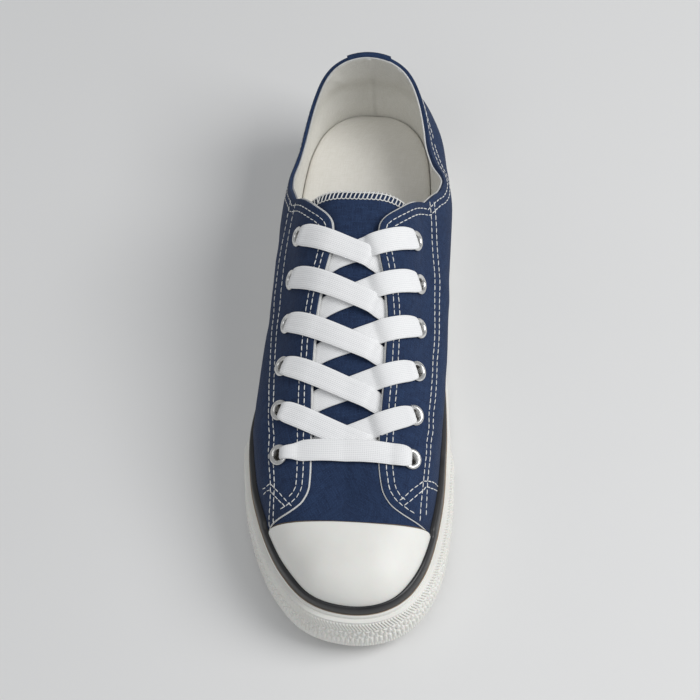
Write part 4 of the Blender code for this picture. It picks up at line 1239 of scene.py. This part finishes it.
cap_phi, cap_side = around_toe(stations((0.0, 0.02, 30), (0.02, 0.158, 70)))
cap_foot = band_theta(cap_phi, cap_side, 2.4 * MM)
cap_end = np.maximum(theta_where(cap_back, cap_phi, cap_side), cap_foot + 0.01)
cap_rows, cap_under = [], []
for share in np.linspace(0, 1, CAP_ROWS):
    theta = cap_foot + (cap_end - cap_foot) * share
    tuck = 0.75 * MM * (1 - ramp(theta - cap_foot, 0, 0.30))
    cap_rows.append(last(cap_phi, cap_side, theta, CAP_HUG + CAP_WALL - tuck))
    cap_under.append(last(cap_phi, cap_side, theta, CAP_HUG - 0.55 * MM * ramp(share, 0.8, 1.0)))
_, back_normals, back_past = edge_frame(cap_phi, cap_side, cap_end)
back_past *= np.sign(back_past[:, 1])[:, None]
rim = cap_rows[-1]
for past, down in ((0.22, 0.06), (0.42, 0.28), (0.50, 0.60), (0.52, 1.15), (1.15, 1.22), (1.20, 1.85)):
    cap_rows.append(rim + back_past * (past * MM) - back_normals * (down * MM))
cap_grid = np.array(cap_rows + cap_under[::-3])
cap_finish = [0] * (CAP_ROWS + 3) + [1] * 2 + [0] * (len(cap_grid) - CAP_ROWS - 5)
cap = loft("toe_cap_rubber", cap_grid, [RUBBER, DARK_BACK_LINE], cap_finish, ends=True, smooth_angle=60)
dress(cap, ["toe_cap"])

# The outsole. Off-white rubber under the whole foot, cemented to the upper's turned-in edge, its tread
# moulded as rows of small zigzag bars.
ZIGZAG = 6 * MM
BAR_PITCH = 2.2 * MM
TREAD, tree, shader = finish_of("tread rubber", Specular_IOR_Level=0.4)
placed = object_place(tree)
split = axes(tree, placed)
zigzag = maths(tree, "PINGPONG", split[0], ZIGZAG)
level = maths(tree, "ADD", split[1], zigzag)
wave = maths(tree, "PINGPONG", level, BAR_PITCH)
bars = step(tree, "MapRange", Value=wave, From_Min=0.0006, From_Max=0.0012)
grime = use(tree, CLOUDED, Vector=placed, Size=0.03)["Mask"]
tone = blend(tree, grime, (0.72, 0.70, 0.64), (0.80, 0.785, 0.74))
shadowed = maths(tree, "MULTIPLY", bars, 0.35)
feed(tree, shader, Base_Color=blend(tree, shadowed, (0.42, 0.40, 0.36), tone))
feed(tree, shader, Roughness=step(tree, "MapRange", Value=grime, To_Min=0.5, To_Max=0.7))
feed(tree, shader, Normal=step(tree, "Bump", Height=bars, Distance=0.9 * MM))
sole_phi = stations((0.0, 0.1, 30), (0.1, 0.9, 110), (0.9, 1.0, 30))
sole_share = along_of(sole_phi)
sole_in = inset(sole_share) + GAP
sides = [ring(sole_phi, np.full(len(sole_phi), s), -sole_in, 0.0) for s in (-1.0, 1.0)]
waist = 1.2 * MM * ramp(np.minimum(sole_share - 0.47, 0.66 - sole_share), 0, 0.02)
top_rows, low_rows = [], []
for share in np.concatenate([[-1, -0.98], np.linspace(-0.93, 0.93, 21), [0.98, 1]]):
    edge_lift = 0.5 * MM * ramp(abs(share), 0.975, 1.0)
    top_rows.append(sole_line(sides, share, BED_HEIGHT * section("bed", sole_share)))
    low_rows.append(sole_line(sides, share, np.maximum(waist, edge_lift)))
outsole = loft("outsole_rubber", np.array(top_rows + low_rows[::-1]), [TREAD], smooth_angle=40)
dress(outsole, ["outsole"])

# The foxing band. A rubber strip wrapped round sole and upper and vulcanised on, flared at its foot, with a
# rolled lip above a fine moulded line.
band_phi, band_side = both_sides(
    stations((0.0, 0.02, 24), (0.02, 0.1, 36), (0.1, 0.9, 170), (0.9, 0.98, 36), (0.98, 1.0, 24))
)
band_share = along_of(band_phi)


def foxing_face(phi, level, detail=0.0):
    """How far out of the sole's edge the band's face is at a share of its height, with its relief."""
    share = along_of(phi)
    top = foxing_top(share)
    flare = FLARE * section("flare", share)
    knee, high = 0.62, 1 - 1 * MM / top
    foot_level = 3 * MM / top
    low = -flare * 0.45 * (level - foot_level) / (knee - foot_level)
    upper = -flare * (0.45 + 0.55 * (level - knee) / (high - knee))
    bend = ramp(level, knee - 0.05, knee + 0.05)
    return low * (1 - bend) + upper * bend + detail


# Share of the band's height and relief in mm there: three fine moulded lines.
BAND_RELIEF = (
    (0.16, -0.02), (0.175, -0.22), (0.19, -0.22), (0.205, 0.0), (0.30, 0.0), (0.42, 0.0), (0.54, 0.0),
    (0.62, 0.0), (0.70, 0.0), (0.735, -0.03), (0.755, -0.26), (0.775, -0.26), (0.795, -0.02), (0.83, 0.0),
    (0.87, 0.0), (0.895, -0.06), (0.910, -0.24), (0.925, -0.06), (0.945, 0.0), (0.962, -0.02),
)
band_top = foxing_top(band_share)
band_flare = -FLARE * section("flare", band_share)
band_in = -inset(band_share)
band_rows = [
    ring(band_phi, band_side, band_in, 1.0 * MM),
    ring(band_phi, band_side, -0.9 * MM, 1.0 * MM),
    ring(band_phi, band_side, -0.45 * MM, 1.25 * MM),
    ring(band_phi, band_side, -0.15 * MM, 2.0 * MM),
    ring(band_phi, band_side, -0.02 * MM, 2.8 * MM),
]
for level, detail in BAND_RELIEF:
    out = foxing_face(band_phi, level, detail * MM)
    band_rows.append(ring(band_phi, band_side, out, band_top * level))
band_rows += [
    ring(band_phi, band_side, band_flare - 0.05 * MM, band_top - 0.70 * MM),
    ring(band_phi, band_side, band_flare - 0.22 * MM, band_top - 0.25 * MM),
    ring(band_phi, band_side, band_flare - 0.55 * MM, band_top - 0.03 * MM),
    ring(band_phi, band_side, band_flare * 0.6 + band_in * 0.4, band_top),
    ring(band_phi, band_side, band_in, band_top),
]
band = loft("foxing_strip", np.array(band_rows), [RUBBER], smooth_angle=50)
dress(band, ["foxing_band"])

# The toe bumper. A thicker moulded strip round the toe: a smooth lip, slanted ribs, staggered diamonds,
# upright ribs and a faint row at its foot.
BUMPER_END = 0.335
BUMPER_TALL = 16.8
SLANT_PITCH, SLANT_LEAN = 1.4, 0.55
DIAMOND_PITCH = 3.7
UPRIGHT_PITCH = 1.95
FAINT_PITCH = 1.1
bumper_phi, bumper_side = around_toe(stations((0.0, 0.01, 66), (0.01, 0.1, 190), (0.1, BUMPER_END, 290)))
bumper_share = along_of(bumper_phi)
bumper_run = run_along(outline(bumper_phi, bumper_side)) / MM
bumper_run -= bumper_run[len(bumper_run) // 2]
bumper_low, bumper_high = 3 * MM, foxing_top(bumper_share) - 1.7 * MM
thin = np.clip((BUMPER_END - bumper_share) / 0.02, 0.25, 1)


def ridge_of(value, sharp):
    """A row of rounded ribs: one for each unit of value."""
    return np.abs(np.sin(math.pi * value)) ** sharp


def moulding(down, run):
    """The bumper's relief from 0 to 1, down from its top edge as a share, along its run in mm."""
    tall = BUMPER_TALL * down
    slanted = ridge_of((run - SLANT_LEAN * (tall - 1.0)) / SLANT_PITCH, 1.0)
    stagger = (down - 0.465) / 0.125
    cell = run / DIAMOND_PITCH
    first = 1 - 2.6 * np.abs(cell - np.round(cell)) - 0.95 * np.abs(stagger)
    second = 1 - 2.6 * np.abs(cell - np.floor(cell) - 0.5) - 0.95 * np.abs(np.abs(stagger) - 1.0)
    diamonds = np.clip(np.maximum(first, second) * 2.2, 0, 1)
    upright = ridge_of(run / UPRIGHT_PITCH, 0.8)
    faint = 0.35 * ridge_of(run / FAINT_PITCH, 1.0)
    relief_here = 0.0
    for low, high, pattern in (
        (0.075, 0.315, slanted),
        (0.34, 0.59, diamonds),
        (0.62, 0.80, upright),
        (0.84, 0.975, faint),
    ):
        inside = ramp(down, low - 0.012, low + 0.012) * (1 - ramp(down, high - 0.012, high + 0.012))
        relief_here = relief_here + inside * pattern
    return relief_here + 0.45 * ramp(down, 0.0, 0.02) * (1 - ramp(down, 0.04, 0.06))


bumper_rows = []
for down in np.linspace(0.0, 1.0, 72):
    height = bumper_high + (bumper_low - bumper_high) * down
    level = height / foxing_top(bumper_share)
    round_off = ramp(down, 0.0, 0.03) * (1 - ramp(down, 0.97, 1.0))
    body = 0.30 + 0.85 * round_off
    out = foxing_face(bumper_phi, level)
    wall = (body + 0.85 * moulding(np.full(len(bumper_run), down), bumper_run)) * MM * thin
    bumper_rows.append(ring(bumper_phi, bumper_side, out + np.minimum(wall, BUMPER_WALL), height))
for down in (1.0, 0.66, 0.33, 0.0):
    height = bumper_high + (bumper_low - bumper_high) * down
    out = foxing_face(bumper_phi, height / foxing_top(bumper_share)) - 0.1 * MM
    bumper_rows.append(ring(bumper_phi, bumper_side, out, height))
bumper = loft("toe_bumper_moulded", np.array(bumper_rows), [RUBBER], ends=True, smooth_angle=60)
dress(bumper, ["toe_bumper"])

# The black stripe. A thin strip of black rubber stands on the band's top edge and hugs the canvas, with a
# line of tan cement at its foot.
BLACK, tree, shader = finish_of("black rubber", Specular_IOR_Level=0.5)
placed = object_place(tree)
dust = use(tree, CLOUDED, Vector=placed, Size=0.012)["Mask"]
grain = step(tree, "TexNoise", Vector=placed, Scale=900.0, Detail=3.0)
feed(tree, shader, Base_Color=blend(tree, dust, (0.012, 0.012, 0.014), (0.030, 0.030, 0.032)))
feed(tree, shader, Roughness=step(tree, "MapRange", Value=dust, To_Min=0.30, To_Max=0.46))
feed(tree, shader, Normal=step(tree, "Bump", Height=grain, Distance=0.03 * MM, Strength=0.5))
TAN, tree, shader = finish_of("tan cement", Roughness=0.6, Specular_IOR_Level=0.35)
placed = object_place(tree)
patchy = step(tree, "TexNoise", Vector=placed, Scale=380.0, Detail=3.0)
feed(tree, shader, Base_Color=blend(tree, patchy, (0.16, 0.11, 0.07), (0.42, 0.32, 0.22)))
feed(tree, shader, Normal=step(tree, "Bump", Height=patchy, Distance=0.08 * MM))
stripe_foot = band_theta(band_phi, band_side, 0.12 * MM)
toe_part = 1 - ramp(band_share, 0.10, 0.17)
behind_cap = ramp(band_share, 0.150, 0.158) * (1 - ramp(band_share, 0.24, 0.42))
beside_cap = ramp(band_share, 0.012, 0.06) * (1 - ramp(band_share, 0.150, 0.158))
stripe_tall = (4.3 + 0.6 * toe_part + 0.5 * beside_cap + 2.2 * behind_cap) * MM
stripe_head = band_theta(band_phi, band_side, stripe_tall)


def stripe_ring(share, out):
    """Points of the stripe, by its share from foot to head and its distance out of the canvas."""
    lift = QUARTER_STEP + out * (1 + 0.34 * beside_cap + 0.42 * behind_cap) * MM
    points = last(band_phi, band_side, stripe_foot + (stripe_head - stripe_foot) * share, lift)
    floor_level = foxing_top(band_share) + spring(points[:, 1] / SOLE_LENGTH) + 0.05 * MM
    return np.column_stack([points[:, :2], np.maximum(points[:, 2], floor_level)])


# The strip round its section: share from foot to head, and mm out of the canvas.
STRIPE_PROFILE = (
    (0.0, 0.15), (0.0, 1.95), (0.05, 2.0), (0.07, 1.75), (0.25, 1.73), (0.45, 1.70),
    (0.65, 1.66), (0.82, 1.55), (0.93, 1.30), (0.99, 0.95), (1.0, 0.10), (0.5, 0.15),
)
CEMENT_ROWS = 3
stripe_rows = [stripe_ring(share, out) for share, out in STRIPE_PROFILE]
stripe_finish = [1] * CEMENT_ROWS + [0] * (len(stripe_rows) - CEMENT_ROWS)
stripe = loft("stripe_rubber", np.array(stripe_rows), [BLACK, TAN], stripe_finish, smooth_angle=50)
dress(stripe, ["foxing_stripe"])

# The laces. One flat woven white cotton lace: a bar over the lowest eyelets, then five crossings. Each run
# starts in an eyelet, crosses the tongue and passes under the other quarter to the eyelet above the next.
RIB_PITCH = 0.75 * MM
PICK_PITCH = 0.9 * MM
LACE, tree, shader = finish_of(
    "white woven lace", Roughness=0.85, Specular_IOR_Level=0.25, Sheen_Weight=0.15, Sheen_Roughness=0.5
)
lace_map = step(tree, "UVMap", {"uv_map": "lace"})
split = axes(tree, lace_map)
rib = maths(tree, "SINE", maths(tree, "MULTIPLY", split[1], 2 * math.pi / RIB_PITCH))
pick = maths(tree, "ADD", split[0], maths(tree, "MULTIPLY", rib, 0.00022))
pick = maths(tree, "SINE", maths(tree, "MULTIPLY", pick, 2 * math.pi / PICK_PITCH))
woven = maths(tree, "ADD", rib, maths(tree, "MULTIPLY", pick, 0.45))
placed = object_place(tree)
soft_soil = use(tree, CLOUDED, Vector=placed, Size=0.02)["Mask"]
lace_tone = blend(tree, soft_soil, (0.90, 0.905, 0.91), (0.95, 0.95, 0.95))
# Painted shade: the white lace is greyed in the hollows between its ribs and picks.
valley_shade = step(tree, "MapRange", Value=woven, From_Min=-1.2, From_Max=0.3, To_Min=0.35, To_Max=0.0)
feed(tree, shader, Base_Color=blend(tree, valley_shade, lace_tone, (0.62, 0.63, 0.65)))
feed(tree, shader, Normal=step(tree, "Bump", Height=woven, Distance=0.05 * MM, Strength=0.9))
LACE_HALF = 4.5 * MM
LACE_STEPS = 120
LACE_LEAD = 2.5 * MM
LACE_STOP = 2.8 * MM
LACE_TUCK = 7.0
OVER_RING = QUARTER_STEP + 2.15 * MM
ON_CANVAS = QUARTER_STEP + 0.40 * MM
ON_TONGUE = -CANVAS_WALL - LACE_ROOM + 0.5 * MM
LACE_SHARES = np.sin(np.linspace(-math.pi / 2, math.pi / 2, 23))


def seat_of(row, side):
    """The plan point of an eyelet, by its row from the top."""
    along, reach = EYELETS[row]
    return np.array((float(ridge_line(along)) + side * reach * BALL_WIDTH, along * SOLE_LENGTH))


def lace_between(start, end, stops, bow):
    """A flat lace over the last. stops are rows of distance from the start in mm, lift, half width in mm and
    thickness in mm, and bow is how far its middle swings out of the straight line."""
    way = end - start
    length = np.linalg.norm(way)
    ahead = way / length
    beside = np.array([-ahead[1], ahead[0]])
    stops = np.array(stops, float)
    run = np.linspace(0, 1, LACE_STEPS + 1)
    travel = stops[0, 0] + (stops[-1, 0] - stops[0, 0]) * run
    lifts = smooth(stops[:, 0], stops[:, 1], travel) * MM
    halves = smooth(stops[:, 0], stops[:, 2], travel) * MM
    walls = smooth(stops[:, 0], stops[:, 3], travel) * MM
    inside = np.clip(travel / (length / MM), 0, 1)
    swing = bow * MM * np.sin(math.pi * inside) ** 1.2
    base, faces_up = [], []
    for far, aside, lift, half in zip(travel * MM, swing, lifts, halves):
        spot = start + ahead * far + beside * aside
        row, ups = [], []
        for share in LACE_SHARES:
            point, normal = drape(*(spot + beside * half * share), lift)
            row.append(point)
            ups.append(normal)
        base.append(row)
        faces_up.append(ups)
    base, faces_up = np.array(base), np.array(faces_up)
    for _ in range(5):
        base[1:-1] = (base[:-2] + 2 * base[1:-1] + base[2:]) / 4
    middle = base[:, len(LACE_SHARES) // 2]
    tangent = np.gradient(middle, axis=0)
    tangent /= np.linalg.norm(tangent, axis=1, keepdims=True)
    across = base[:, -1] - base[:, 0]
    across /= np.linalg.norm(across, axis=1, keepdims=True)
    up = np.cross(tangent, across)
    up *= np.sign(np.sum(up * faces_up[:, len(LACE_SHARES) // 2], axis=1))[:, None]
    edge = np.sqrt(np.maximum(1 - np.abs(LACE_SHARES) ** 6, 0))
    ribs = 0.05 * MM * np.cos(2 * math.pi * LACE_SHARES * LACE_HALF / RIB_PITCH)
    top = base + up[:, None] * (walls[:, None] * (0.5 + 0.5 * edge) + ribs * edge)[..., None]
    low = base + up[:, None] * (walls[:, None] * (0.5 - 0.5 * edge))[..., None]
    return np.concatenate([top, low[:, -2:0:-1]], axis=1).transpose(1, 0, 2)


def lace_piece(name, grids, nodes):
    """A lace of one or two runs, with its own map: along in U and across in V."""
    points, faces, maps = [], [], []
    for grid in grids:
        sides, count = grid.shape[:2]
        faces += tube_faces(sum(len(shell) for shell in points), sides, count)
        points.append(grid.reshape(-1, 3))
        along = run_along(grid[len(LACE_SHARES) // 2])
        flat = np.concatenate([LACE_SHARES, LACE_SHARES[-2:0:-1], LACE_SHARES[:1]]) * LACE_HALF
        for i in range(sides):
            for k in range(count - 1):
                maps += [(along[k + a], flat[i + b]) for a, b in ((0, 0), (1, 0), (1, 1), (0, 1))]
        maps += [(along[0], flat[i]) for i in range(sides)]
        maps += [(along[-1], flat[i]) for i in reversed(range(sides))]
    mesh = bpy.data.meshes.new(name)
    mesh.from_pydata((np.concatenate(points) + REST).tolist(), [], faces)
    layer = mesh.uv_layers.new(name="lace")
    layer.data.foreach_set("uv", np.array(maps, np.float32).reshape(-1))
    mesh.materials.append(LACE)
    face_outward(mesh)
    mesh.shade_smooth()
    mesh.set_sharp_from_angle(angle=math.radians(60))
    dress(place_mesh(name, mesh), nodes)


low_ends = seat_of(-1, LATERAL), seat_of(-1, MEDIAL)
width = np.linalg.norm(low_ends[1] - low_ends[0]) / MM
over, canvas, tongue_level = OVER_RING / MM, ON_CANVAS / MM, ON_TONGUE / MM
bar_stops = (
    (0.7, -2.6, 1.8, 1.5),
    (0.8, 0.6, 1.9, 1.5),
    (1.7, over - 0.35, 2.3, 1.5),
    (3.1, over + 0.1, 2.7, 1.5),
    (5.4, over - 0.5, 3.0, 1.4),
    (8.0, canvas + 0.2, 3.9, 1.25),
    (10.5, canvas + 0.1, 4.4, 1.2),
    (width / 2, canvas + 0.1, 4.5, 1.2),
    (width - 8.5, canvas + 0.2, 4.5, 1.2),
    (width - 5.4, over - 0.4, 4.5, 1.25),
    (width - 3.2, over + 0.1, 4.4, 1.3),
    (width - 1.4, over - 0.1, 3.7, 1.4),
    (width - 0.3, 0.6, 2.4, 1.5),
    (width - 0.1, -2.6, 1.9, 1.5),
)
lace_piece("lace_bar_woven", [lace_between(*low_ends, bar_stops, 0.5)], ["lace_bar"])
# By row: where each run starts past its eyelet's middle, and how far it swings out of line, in mm.
STARTS = {LATERAL: (1.3, 0.7, 0.6, 0.7, 0.7), MEDIAL: (0.4, 1.0, 0.3, 0.95, 0.4)}
BOWS = (1.3, 1.17, 1.43, 1.04, 1.3)
for row in range(len(EYELETS) - 1):
    grids = []
    for side in (LATERAL, MEDIAL):
        along = EYELETS[row + 1][0] + LACE_LEAD / SOLE_LENGTH
        edge = float(table(THROAT, along)) * BALL_WIDTH
        start = seat_of(row, side)
        own_reach, far_edge = EYELETS[row][1] * BALL_WIDTH, edge - LACE_STOP
        throat_end = np.array((float(ridge_line(along)) - side * far_edge, along * SOLE_LENGTH))
        mouth = float(table(THROAT, EYELETS[row][0])) * BALL_WIDTH / MM
        whole = np.linalg.norm(throat_end - start) / MM
        deep = tongue_level + (2.6 if side == LATERAL else 0.3)
        first_stop = STARTS[side][row]

        def at(off):
            """Distance along the run at which it is off mm from the centre line, positive on its own side."""
            return whole * (own_reach / MM - off) / ((own_reach + far_edge) / MM)

        dropped = (
            (at(mouth + 0.8), canvas, 4.45, 1.2),
            (at(mouth - 1.5), canvas - 0.55, 4.5, 1.2),
            (at(mouth * 0.42), deep + 0.35, 4.5, 1.2),
            (at(0), deep, 4.5, 1.2),
            (at(-far_edge / MM * 0.64), deep - 0.3, 4.5, 1.2),
        )
        if side == MEDIAL:
            dropped = (
                (at(mouth + 0.8), canvas, 4.45, 1.2),
                (at(mouth - (1.9 if row == 0 else 1.2)), canvas - 0.7, 4.5, 1.2),
                (at(mouth - 5.0), deep + 0.6, 4.5, 1.2),
                (at(0), deep, 4.5, 1.2),
            )
        stops = (
            (first_stop, -2.6, 1.8, 1.5),
            (first_stop + 0.1, 0.6, 1.9, 1.5),
            (first_stop + 0.8, over - 0.35, 2.9, 1.45),
            (first_stop + 1.9, over + 0.1, 3.6, 1.35),
            (5.2, over - 0.5, 4.25, 1.25),
            *dropped,
            (whole - 0.5, tongue_level, 4.5, 1.2),
            (whole + LACE_TUCK, tongue_level - 0.1, 4.4, 1.2),
        )
        grids.append(lace_between(start, throat_end, stops, side * BOWS[row]))
    lace_piece(f"lace_crossing_woven_{row + 1}", grids, [f"lace_crossing_{row + 1}"])

# The studio. A pale grey floor, a soft key light from the right, a weaker fill from the left and a pale
# room round them.
FLOOR, tree, shader = finish_of("pale studio floor", Roughness=0.65, Specular_IOR_Level=0.25)
placed = object_place(tree)
haze = use(tree, CLOUDED, Vector=placed, Size=0.5)["Mask"]
feed(tree, shader, Base_Color=blend(tree, haze, (0.77, 0.77, 0.765), (0.80, 0.80, 0.795)))
bpy.ops.object.select_all(action="DESELECT")
bpy.ops.mesh.primitive_plane_add(size=6)
floor = bpy.context.active_object
floor.name = "floor"
floor.data.materials.append(FLOOR)


def soft_light(name, place, aim, size, power):
    """A lit panel that faces a point."""
    made = bpy.data.lights.new(name, "AREA")
    made.shape, made.size, made.size_y = "RECTANGLE", size[0], size[1]
    made.energy = power
    lamp = bpy.data.objects.new(name, made)
    lamp.location = place
    lamp.rotation_euler = (Vector(aim) - Vector(place)).to_track_quat("-Z", "Y").to_euler()
    bpy.context.scene.collection.objects.link(lamp)


soft_light("key light", (0.95, -0.10, 1.05), (0, 0, 0.02), (0.8, 0.8), 12.2)
soft_light("fill light", (-0.5, -0.7, 1.5), (0, 0, 0.02), (1.3, 1.0), 3.4)
sky = bpy.data.worlds.new("pale room")
sky.use_nodes = True
sky.node_tree.nodes["Background"].inputs["Color"].default_value = (0.95, 0.97, 1, 1)
sky.node_tree.nodes["Background"].inputs["Strength"].default_value = 0.36
bpy.context.scene.world = sky
bpy.context.scene.view_settings.view_transform = "Standard"

# The camera. A long lens looks down on the toe from in front, rolled a little, as in the photo.
lens = bpy.data.cameras.new("camera")
lens.lens, lens.sensor_width = 112, 36
camera = bpy.data.objects.new("camera", lens)
camera.location = (0.06392, -0.49435, 0.84840)
aim = Vector((-0.001, -0.009, 0.040))
turned = (aim - camera.location).to_track_quat("-Z", "Y") @ Quaternion((0, 0, 1), math.radians(-4.8))
camera.rotation_euler = turned.to_euler()
lens.clip_start, lens.clip_end = 0.01, 20
bpy.context.scene.collection.objects.link(camera)
bpy.context.scene.camera = camera
